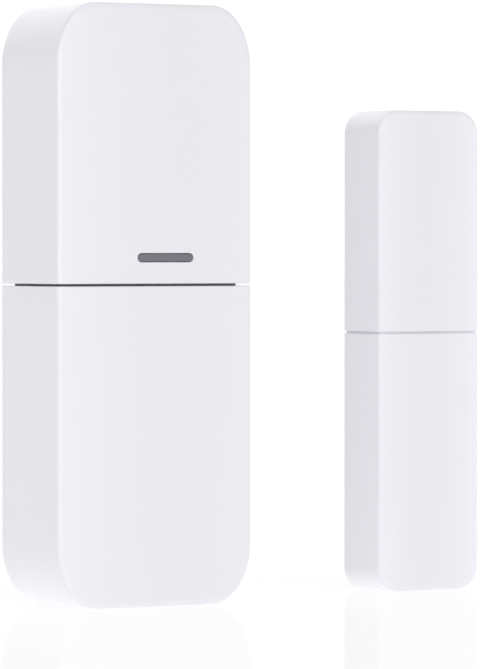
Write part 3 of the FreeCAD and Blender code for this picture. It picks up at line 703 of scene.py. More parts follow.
# Each track on the board: its width, then the (x, z) points it joins.
TRACKS = (
    (0.3, (-4.35, 53.1), (-5.9, 53.1), (-5.9, 58.0), (-7.0, 58.0)),
    (0.3, (-4.35, 54.37), (-6.6, 54.37), (-6.6, 50.0)),
    (0.4, (-4.35, 56.9), (-5.2, 56.9), (-5.2, 59.2)),
    (0.3, (1.15, 56.9), (3.2, 56.9), (3.65, 57.0), (3.65, 59.9)),
    (0.3, (1.15, 55.64), (2.7, 55.64), (3.6, 55.5)),
    (0.3, (1.15, 54.37), (2.0, 54.37), (2.0, 53.3)),
    (0.3, (1.15, 53.1), (1.2, 51.0), (2.0, 50.4), (2.0, 51.5)),
    (0.3, (3.5, 53.3), (3.5, 54.6), (5.55, 54.6), (5.55, 55.5)),
    (0.35, (4.6, 57.7), (4.6, 60.9), (8.6, 60.9), (8.6, 60.5)),
    (0.35, (3.5, 51.5), (3.5, 50.3), (7.0, 50.3), (7.0, 44.0), (8.6, 42.5)),
    (0.35, (-8.2, 45.0), (-6.2, 43.6), (-6.2, 42.4), (-2.4, 42.4)),
    (0.3, (-2.4, 44.2), (-2.4, 45.2), (-5.9, 48.6), (-5.9, 50.9)),
    (0.3, (-9.9, 41.6), (-9.9, 14.0)),
    (0.3, (-7.3, 41.6), (-7.3, 33.4), (-8.6, 32.5)),
    (0.3, (-8.6, 30.7), (-7.2, 29.6)),
    (0.3, (-8.6, 21.5), (-8.6, 23.2)),
    (0.3, (-8.6, 19.7), (-8.6, 18.2)),
    (0.45, (-6.8, 28.8), (-6.8, 12.2), (-7.4, 11.4)),
)
VIAS = ((-7.0, 58.0), (-6.6, 50.0), (5.2, 48.9), (-5.0, 44.3), (6.4, 44.2), (-9.9, 40.9),
        (-7.3, 39.6), (-9.9, 13.2), (7.0, 54.3), (-1.6, 51.4), (-10.6, 60.6), (10.5, 47.0),
        (10.5, 43.2))


# ---------------------------------------------------------------- housings

def half_shell(seam, keep):
    """One half of the transmitter's shell, with lips along the seam: the upper half
    where keep is 1, the lower half where it is -1."""
    s = sizes()
    wall, corner_x, corner_z = s.wall / MM, s.corner_x / MM, s.corner_z / MM
    bm = drawn(slab, MAIN_WIDTH, 0.0, MAIN_HEIGHT, corner_x, corner_z,
               edge_profile(0.0, -RIM_DEPTH, s.front_edge / MM, 10, RIM_EDGE), s.corner_steps)
    bmesh.ops.recalc_face_normals(bm, faces=bm.faces)
    bmesh.ops.bisect_plane(bm, geom=bm.verts[:] + bm.edges[:] + bm.faces[:],
                           plane_co=(0, 0, seam), plane_no=(0, 0, -keep), clear_outer=True,
                           dist=MERGE)
    rim = [e for e in bm.edges if e.is_boundary]
    bmesh.ops.contextual_create(bm, geom=rim)
    bevel(bm, [e for e in rim if min(v.co.y for v in e.verts) < -0.2
               or abs(e.verts[0].co.x - e.verts[1].co.x) < TINY], s.lip / MM, 4, clamp=False)
    half = solid(bm)
    cut(half, slab, MAIN_WIDTH - 2 * wall, wall, MAIN_HEIGHT - wall, corner_x - wall,
        corner_z - wall, [(0.0, 1.0), (0.0, INSIDE + 0.3), (0.1, INSIDE + 0.1), (0.3, INSIDE)],
        s.corner_steps)
    return half


class SENSOR_OT_upper_housing(bpy.types.Operator):
    """Upper half of the transmitter's housing, with its screw bosses and window slot"""

    bl_idname = "sensor.upper_housing"
    bl_label = "Upper housing"

    def execute(self, context):
        shell = half_shell(SEAM + SEAM_GAP / 2, 1)
        boss, bore = 2.2, 1.125
        for x in SCREWS_X:
            join(shell, rod, boss, x, SCREW_Z, INSIDE - 0.6, -3.3, 0.15)
            cut(shell, rod, bore, x, SCREW_Z, -9.3, -2.0)
        cut(shell, round_ended, *WINDOW,
            [(0.0, INSIDE + 1), (0.0, -14.46), (-0.015, -14.49), (-0.04, -14.5),
             (-0.04, -15.5)], 12)
        piece("Upper_housing", shell, "upper_housing", "housing_plastic", MAIN_WHITE)
        return {"FINISHED"}


class SENSOR_OT_battery_cover(bpy.types.Operator):
    """Battery cover, with its four pegs and the rib that holds the tamper switch"""

    bl_idname = "sensor.battery_cover"
    bl_label = "Battery cover"

    def execute(self, context):
        shell = half_shell(SEAM - SEAM_GAP / 2, -1)
        peg, rib = 1.0, 1.7
        for z, tip in ((35.9, -9.0), (5.2, -4.6)):
            for x in (-8.0, 8.0):
                join(shell, rod, peg, x, z, INSIDE - 0.6, tip, 0.25)
        join(shell, block, SWITCH_X, TAMPER_Z, rib, rib, INSIDE - 0.6, -12.0, 0.15)
        piece("Battery_cover", shell, "battery_cover", "housing_plastic", MAIN_WHITE,
              body=COVER)
        return {"FINISHED"}


class SENSOR_OT_magnet_housing(bpy.types.Operator):
    """Magnet unit's housing, with the groove round its front and sides"""

    bl_idname = "sensor.magnet_housing"
    bl_label = "Magnet housing"

    def execute(self, context):
        s = sizes()
        corner, wall, deep = s.magnet_corner / MM, s.magnet_wall / MM, s.groove_depth / MM
        shell = solid(drawn(
            slab, MAGNET_WIDTH, 0.0, MAGNET_HEIGHT, corner, corner,
            edge_profile(0.0, -MAGNET_DEPTH, s.magnet_edge / MM, 10, RIM_EDGE),
            s.corner_steps))
        middle, half = s.groove_height / MM, s.groove_width / MM / 2
        side, front = MAGNET_WIDTH / 2 - deep, deep - MAGNET_DEPTH
        cut(shell, prism, [(-9, 1), (-9, -10), (9, -10), (9, 1), (side, 1), (side, front),
                           (-side, front), (-side, 1)], (middle - half, middle + half))
        bm = reopened(shell)
        lips = [e for e in bm.edges
                if all(min(abs(v.co.z - middle - half), abs(v.co.z - middle + half)) < 1e-3
                       and (abs(v.co.x) > side + 0.05 or v.co.y < front - 0.05)
                       for v in e.verts) and abs(e.verts[0].co.z - e.verts[1].co.z) < 1e-4
                and min(v.co.y for v in e.verts) < -0.01]
        bevel(bm, lips, GROOVE_EDGE, 3, clamp=False)
        shell = solid(bm)
        cut(shell, slab, MAGNET_WIDTH - 2 * wall, wall, MAGNET_HEIGHT - wall, corner - wall,
            corner - wall, [(0.0, 1.0), (0.0, -7.1), (0.2, -7.3)], s.corner_steps)
        for z in (5.2, 54.8):
            join(shell, rod, 1.0, 0.0, z, -7.8, -2.4, 0.25)
        piece("Magnet_housing", shell, "magnet_housing", "housing_plastic", MAGNET_WHITE,
              body=MAGNET_SHELL)
        return {"FINISHED"}


class SENSOR_OT_chassis(bpy.types.Operator):
    """Chassis and magnet base, which keep the frame's shape, and the seal in the seam, whose
    grey is partly painted shade
    """

    bl_idname = "sensor.chassis"
    bl_label = "Chassis, base and seal"

    def execute(self, context):
        for name in ("chassis", "magnet_base"):
            dress(name, finish("Chassis plastic"))
        half, low, high = 11.9, 37.35, 39.55
        thick = 0.5
        band = solid(drawn(rounded_box, (-half, -13.0, low), (half, -0.6, high), 0.25, 3))
        cut(band, rounded_box, (-half + thick, -13.0 + thick, low - 1),
            (half - thick, -0.6 - thick, high + 1), 0.1, 2, along=2)
        # The seal's grey paints part of the shade in the seam.
        piece("Dust_seal", band, "dust_seal", "seal_rubber", "Seal rubber")
        return {"FINISHED"}


# ---------------------------------------------------------------- status light

class SENSOR_OT_status_light(bpy.types.Operator):
    """Window, light guide and lamp"""

    bl_idname = "sensor.status_light"
    bl_label = "Status light"

    def execute(self, context):
        x, z, width, height = WINDOW
        pane = solid(drawn(round_ended, x, z, width - 0.1, height - 0.1,
                           edge_profile(INSIDE, -14.38, 0.12, 5)))
        join(pane, round_ended, x, z, width + 0.9, height + 0.9,
             [(0.05, INSIDE + 0.6), (0.0, INSIDE + 0.55), (0.0, INSIDE)])
        piece("Status_window", pane, "led_window", "smoked_window", "Smoked window")
        back, front = BOARD_FRONT - 0.9, INSIDE + 0.6
        narrow, wide = 1.2, 3.3
        bm = drawn(prism, [(x - narrow, back), (x + narrow, back), (x + wide, front),
                           (x - wide, front)], (z - 0.5, z + 0.5))
        bevel(bm, bm.edges, 0.06)
        piece("Light_guide", bm, "light_guide", "clear_acrylic", "Clear acrylic")
        face = -5.15
        bm = drawn(block, x, z, 0.8, 0.4, face, BOARD_FRONT, 0.03)
        for side in (-1, 1):
            block(bm, x + side * 0.62, z, 0.18, 0.4, -5.1, BOARD_FRONT, 0.02, 1, index=2)
        slab(bm, 1.12, z - 0.32, z + 0.32, 0.31, 0.31, edge_profile(face, -5.5, 0.12, 4), 8,
             centre_x=x, index=1)
        piece("Status_lamp", bm, "status_led", "led_resin", "Lamp base", "Lamp resin",
              "Solder")
        return {"FINISHED"}


# ---------------------------------------------------------------- circuit board

def pad(bm, x, z, width, height):
    block(bm, x, z, width / 2, height / 2, BOARD_FRONT - 0.035, BOARD_FRONT + 0.02, 0.02, 1,
          index=1)


def trace(bm, width, points):
    """Copper track under the mask: a thin raised strip along (x, z) points."""
    for (x0, z0), (x1, z1) in zip(points, points[1:]):
        along = Vector((x1 - x0, 0, z1 - z0))
        reach = along.normalized() * width / 2
        across = Vector((-along.z, 0, along.x)).normalized() * width / 2
        start = Vector((x0, 0, z0)) - reach
        end = Vector((x1, 0, z1)) + reach
        rings = []
        for y, ease in ((BOARD_FRONT + 0.02, 0.0), (BOARD_FRONT - 0.018, 0.12)):
            a = across * (1 - ease)
            rings.append([bm.verts.new(p + o + Vector((0, y, 0)))
                          for p, o in ((start, -a), (end, -a), (end, a), (start, a))])
        skin_rings(bm, rings, 2)


def eyelet(bm, x, z, *profile, segments=24):
    """Plating or solder round a hole, as (radius, height above the board) pairs."""
    lathe(bm, [(r, BOARD_FRONT - up) for r, up in profile], (x, 0, z), "Y", segments, 1)


def mark(bm, x, z, half_x, half_z):
    """Printed outline round a part."""
    half = 0.06
    corners = [(x + a * half_x, z + b * half_z) for a, b in CORNERS + CORNERS[:1]]
    for (x0, z0), (x1, z1) in zip(corners, corners[1:]):
        rounded_box(bm, (min(x0, x1) - half, BOARD_FRONT - 0.012, min(z0, z1) - half),
                    (max(x0, x1) + half, BOARD_FRONT + 0.01, max(z0, z1) + half), 0.0,
                    index=3)


class SENSOR_OT_circuit_board(bpy.types.Operator):
    """Circuit board with its tongue, tracks, pads, plated holes and printed outlines"""

    bl_idname = "sensor.circuit_board"
    bl_label = "Circuit board"

    def execute(self, context):
        bm = reopened(self.blank())
        self.pads(bm)
        for width, *points in TRACKS:
            trace(bm, width, points)
        for x, z in VIAS:
            eyelet(bm, x, z, (0.14, 0.02), (0.3, 0.02), (0.3, -0.02), (0.14, -0.02),
                   segments=16)
        x, z = CHIP
        for end in (-2.775, 2.775):
            mark(bm, x, z - end, 1.75, 0.025)
        mark(bm, REED_X, REED_Z, 1.7, 7.6)
        mark(bm, *TRANSISTOR, 1.75, 1.8)
        piece("Circuit_board", bm, "circuit_board", "board_laminate", "Board mask", "Solder",
              "Board track", "Board print", "Board edge")
        return {"FINISHED"}

    def blank(self):
        """Bare board, with its tongue, its screw hole and the slot for a contact."""
        left, right, low = TONGUE
        mask, edge = 0, 4
        bm = drawn(prism, [
            (-BOARD_HALF, BOARD_LOW), (left, BOARD_LOW), (left, low), (right, low),
            (right, BOARD_LOW), (BOARD_HALF, BOARD_LOW), (BOARD_HALF, BOARD_HIGH),
            (-BOARD_HALF, BOARD_HIGH)], (BOARD_BACK, BOARD_FRONT), "Y", edge)
        for f in bm.faces:
            if len(f.verts) > 4:
                f.material_index = mask
        outer = [e for e in bm.edges if abs(e.verts[0].co.y - e.verts[1].co.y) > 0.5
                 and not any(abs(e.verts[0].co.x - x) < TINY
                             and abs(e.verts[0].co.z - BOARD_LOW) < TINY
                             for x in (left, right))]
        bevel(bm, outer, 0.5, 5, material=edge)
        board = solid(bm)
        cut(board, rod, 1.1, 0.0, BOARD_SCREW_Z, -7.0, -2.0)
        cut(board, rounded_box, (-8.45, -6.0, 10.95), (-7.35, -3.0, 11.35), 0.0)
        return board

    def pads(self, bm):
        x, z = CHIP
        for side, up in CHIP_LEGS:
            pad(bm, x + side * 2.75, z + up, 0.75, 0.6)
        for x, z in CAPACITORS:
            for side in (-1, 1):
                pad(bm, x + side * 0.85, z, 0.7, 0.95)
        for x, z in RESISTORS:
            for side in (-1, 1):
                pad(bm, x, z + side * 0.85, 0.95, 0.7)
        x, z = TRANSISTOR
        for dx, dz in ((-0.95, -1.1), (0.95, -1.1), (0.0, 1.1)):
            pad(bm, x + dx, z + dz, 0.6, 0.7)
        reed, coil = 0.75, 0.8
        for x, z, r in ((REED_X, REED_Z - REED_REACH, reed), (COIL_X, COIL_Z, coil),
                        (REED_X, REED_Z + REED_REACH, reed), (COIL_X, COIL_END, coil)):
            eyelet(bm, x, z, (0.3, 0.04), (r, 0.03), (r + 0.03, -0.02), (0.3, -0.02))
        pad(bm, 0.0, 43.9, 2.6, 1.3)
        pad(bm, -7.9, 11.15, 1.7, 1.2)
        for side in (-1, 1):
            pad(bm, WINDOW[0] + side * 0.85, WINDOW[1], 0.5, 0.8)
        eyelet(bm, 0, BOARD_SCREW_Z, (1.15, 0.03), (1.9, 0.03), (1.9, -0.02), (1.15, -0.02),
               segments=40)


def solder_mound(bm, x, z, half_x, half_z, rise):
    """Low mound of solder with sloping sides."""
    stack(bm, x, z, [
        (BOARD_FRONT - 0.02 - rise * up, max(half_x - inset, 0.02), max(half_z - inset, 0.02))
        for inset, up in ((0.0, 0.0), (0.05, 0.3), (0.14, 0.75), (0.24, 1.0))], 1)


class SENSOR_OT_board_parts(bpy.types.Operator):
    """Small parts on the board: controller, crystal, transistor, capacitors, resistors"""

    bl_idname = "sensor.board_parts"
    bl_label = "Board parts"

    def execute(self, context):
        self.controller()
        self.crystal()
        self.transistor()
        self.passives()
        return {"FINISHED"}

    def controller(self):
        x, z = CHIP
        half_x, half_z, middle = 1.95, 2.45, BOARD_FRONT - 0.75
        bm = bmesh.new()
        for far, taper in ((BOARD_FRONT - 1.5, 0.09), (BOARD_FRONT - 0.2, 0.06)):
            stack(bm, x, z, ((middle, half_x, half_z), (far, half_x - taper, half_z - taper)))
        bmesh.ops.remove_doubles(bm, verts=bm.verts[:], dist=MERGE)
        bmesh.ops.delete(bm, geom=[f for f in bm.faces if all(
            abs(v.co.y - middle) < TINY for v in f.verts)], context="FACES_ONLY")
        bevel(bm, bm.edges, 0.05)
        body = solid(bm)
        cut(body, lathe, [(0.0, -6.6), (0.35, -6.6), (0.35, -6.26), (0.22, -6.2),
                          (0.0, -6.19)], (x - 1.15, 0, z + 1.65), "Y", 24)
        piece("Controller_body", body, "microcontroller_body", "black_epoxy", "Black epoxy")
        bm = bmesh.new()
        top, foot = BOARD_FRONT - 0.85, BOARD_FRONT - 0.1
        for side, up in CHIP_LEGS:
            path = [(x + side * out, y, z + up) for out, y in (
                (half_x, top), (2.36, top), (2.5, foot), (2.94, foot))]
            ribbon(bm, eased(path, 0.12, 5), (0, 0, 1), 0.42, 0.2)
        piece("Controller_legs", bm, "microcontroller_legs", "tinned_metal", "Solder")

    def crystal(self):
        x, z = CRYSTAL
        base = [(inset, BOARD_FRONT - up) for inset, up in (
            (0.05, 0.0), (0.0, 0.05), (0.0, 0.3), (0.05, 0.35), (0.28, 0.36))]
        can = [(-0.1, BOARD_FRONT - 0.3), (-0.02, BOARD_FRONT - 0.42)]
        can += edge_profile(BOARD_FRONT - 0.5, BOARD_FRONT - 3.4, 0.4, 8)
        bm = bmesh.new()
        for width, half, profile in ((10.8, 2.3, base), (10.1, 1.95, can)):
            slab(bm, width, z - half, z + half, half - 0.001, half - 0.001, profile, 24, x)
        piece("Radio_crystal", bm, "radio_crystal", "crystal_can", "Crystal can")

    def transistor(self):
        x, z = TRANSISTOR
        bm = drawn(stack, x, z, [(BOARD_FRONT - up, 1.45 - inset, 0.65 - inset)
                                 for up, inset in ((0.1, 0.06), (0.6, 0.0), (1.1, 0.08))])
        bevel(bm, bm.edges, 0.04)
        for dx, side in ((-0.95, -1), (0.95, -1), (0.0, 1)):
            path = [(x + dx, BOARD_FRONT - up, z + side * out) for up, out in (
                (0.5, 0.6), (0.5, 0.8), (0.08, 0.92), (0.08, 1.2))]
            ribbon(bm, eased(path, 0.08, 4), (1, 0, 0), 0.4, 0.12, index=1)
        piece("Radio_transistor", bm, "radio_transistor", "black_epoxy", "Black epoxy",
              "Solder")

    def passives(self):
        bm = bmesh.new()
        for x, z in CAPACITORS:
            block(bm, x, z, 0.55, 0.38, BOARD_FRONT - 0.78, BOARD_FRONT - 0.02, 0.03)
            for side in (-1, 1):
                block(bm, x + side * 0.65, z, 0.15, 0.4, BOARD_FRONT - 0.8, BOARD_FRONT, 0.07,
                      3, index=1)
                solder_mound(bm, x + side * 0.62, z, 0.18, 0.39, 0.3)
        piece("Chip_capacitors", bm, "chip_capacitors", "capacitor_ceramic",
              "Capacitor ceramic", "Solder")
        bm = bmesh.new()
        for x, z in RESISTORS:
            block(bm, x, z, 0.4, 0.6, BOARD_FRONT - 0.4, BOARD_FRONT - 0.02, 0.02, 1, index=2)
            block(bm, x, z, 0.36, 0.5, BOARD_FRONT - 0.45, BOARD_FRONT - 0.36, 0.03)
            for side in (-1, 1):
                block(bm, x, z + side * 0.68, 0.4, 0.12, BOARD_FRONT - 0.43, BOARD_FRONT,
                      0.05, 3, index=1)
        piece("Chip_resistors", bm, "chip_resistors", "resistor_black", "Resistor black",
              "Solder", "Resistor ceramic")


def capsule(radius, half, least=0.0):
    """Lathe profile with round ends, which starts at the least radius."""
    found = [(max(radius * s, least), radius * c - half) for s, c in quarter(8)]
    return found + [(r, -along) for r, along in reversed(found)]


class SENSOR_OT_reed_switch(bpy.types.Operator):
    """Reed switch: glass tube with its two blades, and leads bent down to the board"""

    bl_idname = "sensor.reed_switch"
    bl_label = "Reed switch"

    def execute(self, context):
        centre, lead = (REED_X, REED_Y, REED_Z), 0.25
        glass = solid(drawn(lathe, capsule(REED_R, 7.0, lead + 0.01), centre, "Z", 40))
        cut(glass, lathe, capsule(0.75, 4.8), centre, "Z", 32)
        piece("Reed_glass", glass, "reed_switch_glass", "reed_glass", "Reed glass")
        bm = bmesh.new()
        for end in (-1, 1):
            root, outer_end = REED_Z + end * 4.1, REED_Z + end * REED_REACH
            path = [(REED_X, REED_Y, root), (REED_X, REED_Y, outer_end),
                    (REED_X, BOARD_FRONT - 0.02, outer_end)]
            tube(bm, eased(path, 0.45, 6), lead, 16)
            tip = REED_Z - end * 0.7
            y = REED_Y + end * 0.175
            rounded_box(bm, (REED_X - 0.5, y - 0.1, min(tip, root)),
                        (REED_X + 0.5, y + 0.1, max(tip, root)), 0.05, 2)
            eyelet(bm, REED_X, outer_end, (0.27, 0.45), (0.33, 0.28), (0.5, 0.1),
                   (0.68, 0.02))
        piece("Reed_blades", bm, "reed_switch_blades", "nickel_iron", "Reed alloy", "Solder")
        return {"FINISHED"}


class SENSOR_OT_antenna_coil(bpy.types.Operator):
    """Antenna coil of enamelled wire, with a soldered leg at each end"""

    bl_idname = "sensor.antenna_coil"
    bl_label = "Antenna coil"

    def execute(self, context):
        y = BOARD_FRONT - 0.8 - COIL_R - COIL_WIRE
        foot, knee = BOARD_FRONT - 0.02, y + COIL_R + 0.45
        turn_steps = 36
        steps = turn_steps * COIL_TURNS
        path = [(COIL_X, foot, COIL_Z), (COIL_X, knee, COIL_Z)]
        for i in range(steps + 1):
            turn = 2 * math.pi * i / turn_steps
            path.append((COIL_X - COIL_R * math.sin(turn), y + COIL_R * math.cos(turn),
                         COIL_Z + COIL_PITCH * COIL_TURNS * i / steps))
        path += [(COIL_X, knee, COIL_END), (COIL_X, foot, COIL_END)]
        bm = drawn(tube, path, COIL_WIRE, 14)
        for z in (COIL_Z, COIL_END):
            eyelet(bm, COIL_X, z, (0.37, 0.5), (0.45, 0.3), (0.6, 0.1), (0.74, 0.02))
        piece("Antenna_coil", bm, "antenna_coil", "copper_wire", "Copper enamel", "Solder",
              angle=COIL_ANGLE)
        return {"FINISHED"}


# ---------------------------------------------------------------- switches

class SENSOR_OT_push_switches(bpy.types.Operator):
    """Tamper and pairing switches: plated covers on black cases, and their plungers"""

    bl_idname = "sensor.push_switches"
    bl_label = "Push switches"

    def execute(self, context):
        self.case("Tamper_case", "tamper_switch_case", TAMPER_Z, SWITCH_FRONT + 1.45)
        self.case("Pairing_case", "pairing_button_case", PAIRING_Z, SWITCH_FRONT + 1.7)
        for name, replaced, body, z, front, slot in (
                ("Pairing_plunger", "pairing_button_plunger", PAIRING, PAIRING_Z, -9.4,
                 "button_plastic"),
                ("Tamper_plunger", "tamper_switch_plunger", TAMPER, TAMPER_Z, -11.9,
                 "plunger_black")):
            bm = drawn(rod, 1.2, SWITCH_X, z, SWITCH_FRONT + 1.3, front, 0.2, 48)
            piece(name, bm, replaced, slot, name + " plastic", body=body)
        return {"FINISHED"}

    def case(self, name, replaced, z, floor):
        half, plate_back = 2.25, SWITCH_FRONT + 0.25
        case = solid(drawn(block, SWITCH_X, z, half, half, plate_back, BOARD_FRONT, 0.3, 4,
                           along=1))
        plate = solid(drawn(
            slab, 2 * half, z - half, z + half, 0.3, 0.3,
            [(0.0, plate_back), (0.0, SWITCH_FRONT + 0.08), (0.03, SWITCH_FRONT + 0.02),
             (0.08, SWITCH_FRONT)], 6, centre_x=SWITCH_X, index=1))
        for target in (case, plate):
            cut(target, rod, 1.25, SWITCH_X, z, floor, -12.0)
        bm = reopened(case, plate)
        for a in (-1, 1):
            for b in (-1, 1):
                lathe(bm, [(0.3, SWITCH_FRONT + 0.05), (0.3, SWITCH_FRONT),
                           (0.2, SWITCH_FRONT), (0.0, SWITCH_FRONT + 0.01)],
                      (SWITCH_X + a * 1.75, 0, z + b * 1.75), "Y", 16)
        piece(name, bm, replaced, "switch_black", "Switch black", "Switch plate")


# ---------------------------------------------------------------- battery

class SENSOR_OT_battery(bpy.types.Operator):
    """Battery: drawn can with its crimped end and button, and its shrink wrap"""

    bl_idname = "sensor.battery"
    bl_label = "Battery"

    def execute(self, context):
        low, top, r = BATTERY_LOW, BATTERY_HIGH - 1.0, BATTERY_R - 0.15
        bend, rim = 0.5, 0.3
        profile = [(0.0, low + 0.12), (3.6, low + 0.12), (3.8, low), (4.4, low)]
        profile += [(r - bend + bend * s, low + bend * c) for s, c in quarter(6)]
        profile += [(r - bend * c, top - bend + bend * s) for s, c in quarter(6)]
        profile += [(4.2, top), (4.0, top - 0.2), (2.2, top - 0.22), (1.95, top - 0.05)]
        profile += [(1.8 - rim * c, BATTERY_HIGH - rim + rim * s) for s, c in quarter(5)]
        bm = drawn(lathe, profile + [(0.0, BATTERY_HIGH)], (0, BATTERY_Y, 0), "Z", 96)
        piece("Battery_can", bm, "battery_can", "battery_steel", "Battery steel")
        start, end, outer, band = low + 0.6, top - 0.6, BATTERY_R, 3.0
        half = [(r - 0.02, 0.02), (outer - 0.08, 0.0), (outer, 0.1), (outer, band)]
        bm = drawn(lathe, [(radius, start + in_by) for radius, in_by in half]
                   + [(radius, end - in_by) for radius, in_by in reversed(half)],
                   (0, BATTERY_Y, 0), "Z", 96)
        for f in bm.faces:
            if f.calc_center_median().z > end - band:
                f.material_index = 1
        piece("Battery_wrap", bm, "battery_sleeve", "battery_wrap", "Battery wrap",
              "Battery band")
        return {"FINISHED"}


class SENSOR_OT_contacts(bpy.types.Operator):
    """Contact plates at both ends of the battery, and the conical spring"""

    bl_idname = "sensor.contacts"
    bl_label = "Battery contacts"

    def execute(self, context):
        back, front, ease = BOARD_BACK + 0.3, BATTERY_Y - 3.5, 0.07
        bm = bmesh.new()
        for box in (((-3.5, front, BATTERY_HIGH), (3.5, back, 34.3)),
                    ((-1.0, BOARD_BACK, BATTERY_HIGH), (1.0, back, 44.9))):
            rounded_box(bm, *box, ease, 2)
        piece("Positive_contact", bm, "positive_contact", "contact_nickel", "Contact nickel")
        low, rear = 2.35, PLATE - 0.1
        bm = bmesh.new()
        for box in (((-5.6, front, low), (3.5, rear, low + 0.3)),
                    ((-5.6, rear - 0.3, low), (-3.6, rear, 11.0)),
                    ((-8.4, rear - 0.3, 9.0), (-3.6, rear, 11.3)),
                    ((-8.4, BOARD_FRONT - 0.4, 11.0), (-7.4, rear, 11.3))):
            rounded_box(bm, *box, ease, 2)
        eyelet(bm, -7.9, 11.15, (0.3, 0.32), (0.5, 0.18), (0.8, 0.04), (0.8, 0.0), (0.3, 0.0),
               segments=20)
        piece("Negative_contact", bm, "negative_contact", "contact_nickel", "Contact nickel",
              "Solder")
        turns, steps, wide, narrow = 3, 120, 3.2, 1.6
        bottom, top = 2.9, BATTERY_LOW - 0.25
        path = []
        for i in range(steps + 1):
            t = i / steps
            turn = 2 * math.pi * turns * t
            radius = wide + (narrow - wide) * t
            path.append((-radius * math.cos(turn), BATTERY_Y + radius * math.sin(turn),
                         bottom + (top - bottom) * t))
        piece("Negative_spring", drawn(tube, path, 0.25, 14), "negative_spring",
              "contact_nickel", "Spring wire", angle=COIL_ANGLE)
        return {"FINISHED"}


# ---------------------------------------------------------------- fasteners and pads

def cross_tool(x, z, face, into):
    """Cross recess that narrows as it goes in; into is the way in, 1 or -1 along Y."""
    levels = [(face + into * deep, arm, width) for deep, arm, width in (
        (-0.5, 1.2, 0.25), (0.05, 1.2, 0.25), (0.6, 0.72, 0.21))]
    bar = solid(drawn(stack, x, z, levels))
    join(bar, stack, x, z, [(y, width, arm) for y, arm, width in levels])
    return bar


class SENSOR_OT_fasteners(bpy.types.Operator):
    """Housing screws and board screw, threaded, with cross recesses"""

    bl_idname = "sensor.fasteners"
    bl_label = "Fasteners"

    def execute(self, context):
        bm = bmesh.new()
        for x in SCREWS_X:
            lathe(bm, [(0.0, -1.8), (2.0, -1.8), (2.0, -0.95), (1.93, -0.82), (1.8, -0.74),
                       (1.6, -0.7), (0.0, -0.7)], (x, 0, SCREW_Z))
        heads = solid(bm)
        for x in SCREWS_X:
            combine(heads, cross_tool(x, SCREW_Z, -0.7, -1), "DIFFERENCE")
        bm = reopened(heads)
        for x in SCREWS_X:
            threaded(bm, 1.1, 0.8, 0.8, x, SCREW_Z, -1.75, -8.8)
        piece("Housing_screws", bm, "housing_screws", "screw_zinc", "Screw zinc")
        face = BOARD_FRONT - 1.1
        head = solid(drawn(lathe, [
            (0.0, BOARD_FRONT), (1.7, BOARD_FRONT), (1.7, face + 0.55), (1.62, face + 0.3),
            (1.42, face + 0.1), (1.15, face), (0.0, face)], (0, 0, BOARD_SCREW_Z)))
        combine(head, cross_tool(0.0, BOARD_SCREW_Z, face, 1), "DIFFERENCE")
        bm = reopened(head)
        threaded(bm, 0.9, 0.68, 0.6, 0.0, BOARD_SCREW_Z, BOARD_FRONT, -1.9)
        piece("Board_screw", bm, "board_screw", "screw_zinc", "Screw zinc")
        return {"FINISHED"}


class SENSOR_OT_pads(bpy.types.Operator):
    """Adhesive pads on the backs with their liners, and the foam pads inside"""

    bl_idname = "sensor.pads"
    bl_label = "Adhesive and foam pads"

    def execute(self, context):
        for name, replaced, body, width, low, high in (
                ("Frame_tape", "frame_tape_pad", TRANSMITTER, 12.0, 10.0, 62.0),
                ("Door_tape", "door_tape_pad", MAGNET_UNIT, 9.0, 16.5, 43.5)):
            bm = bmesh.new()
            for index, profile in enumerate((
                    [(0.02, -0.6), (0.06, -0.3), (0.09, -0.1), (0.06, 0.15), (0.01, 0.3)],
                    [(0.0, 0.3), (0.0, 0.385), (0.03, 0.4)])):
                slab(bm, width, low, high, 0.8, 0.8, profile, 8, index=index)
            made = piece(name, bm, replaced, "tape_foam", "Tape foam", "Liner paper",
                         body=body)
        edge = 0.22
        for name, replaced, body, half, front, back, low, high in (
                ("Battery_foam", "battery_foam_pad", COVER, 3.0, INSIDE, -12.5, 9.75, 29.75),
                ("Magnet_foam", "magnet_foam_pad", MAGNET_SHELL, 2.0, -7.3, -6.4, 20.0,
                 40.0)):
            bm = drawn(slab, 2 * half, low, high, 0.35, 0.35,
                       [(0.03, front), (0.0, front + 0.06), (0.05, (front + back) / 2)]
                       + [(edge * (1 - math.cos(a)), back - edge + edge * math.sin(a))
                          for a in (0.0, 0.4, 0.8, 1.2, math.pi / 2)], 6)
            made = piece(name, bm, replaced, "pad_foam", "Pad foam", body=body)
        return {"FINISHED"}


class SENSOR_OT_bar_magnet(bpy.types.Operator):
    """Bar magnet with chamfered edges"""

    bl_idname = "sensor.bar_magnet"
    bl_label = "Bar magnet"

    def execute(self, context):
        bm = drawn(rounded_box, (-2.5, PLATE - 4.5, 17.0), (2.5, PLATE, 43.0), 0.3, 2)
        piece("Bar_magnet", bm, "bar_magnet", "magnet_nickel", "Magnet nickel",
              body=MAGNET_UNIT)
        return {"FINISHED"}


# ---------------------------------------------------------------- stage

WORLD_BASE = 0.20
WORLD_LIGHT = (((0.0, 0.0, 1.0), 0.67), ((0.0, -1.0, 0.0), 0.78))
WORLD_SEEN = 1.05
# Mirror-like surfaces see an even white world up to the first height; from the second
# height up they see the lit one.
BAND_LOW, BAND_HIGH = 0.15, 0.45
FLOOR_TINT = (0.30, 0.30, 0.30, 1.0)
FLOOR_SHINE = 1.48
FLOOR_SEEN, FLOOR_LIGHT = 0.88, 0.81
FLOOR_BLUR, FLOOR_MIRROR = 0.05, 0.34
FLOOR_HALF = 6.0
WHITE = (1.0, 1.0, 1.0, 1.0)
VIEW_PLACE = (-0.2922, -0.4930, 0.0428)
VIEW_YAW = math.radians(30.44)
VIEW_PITCH = math.radians(1.055)
VIEW_LENS = 251.4
LIGHT_TARGET = (-0.01, 0.0, 0.035)
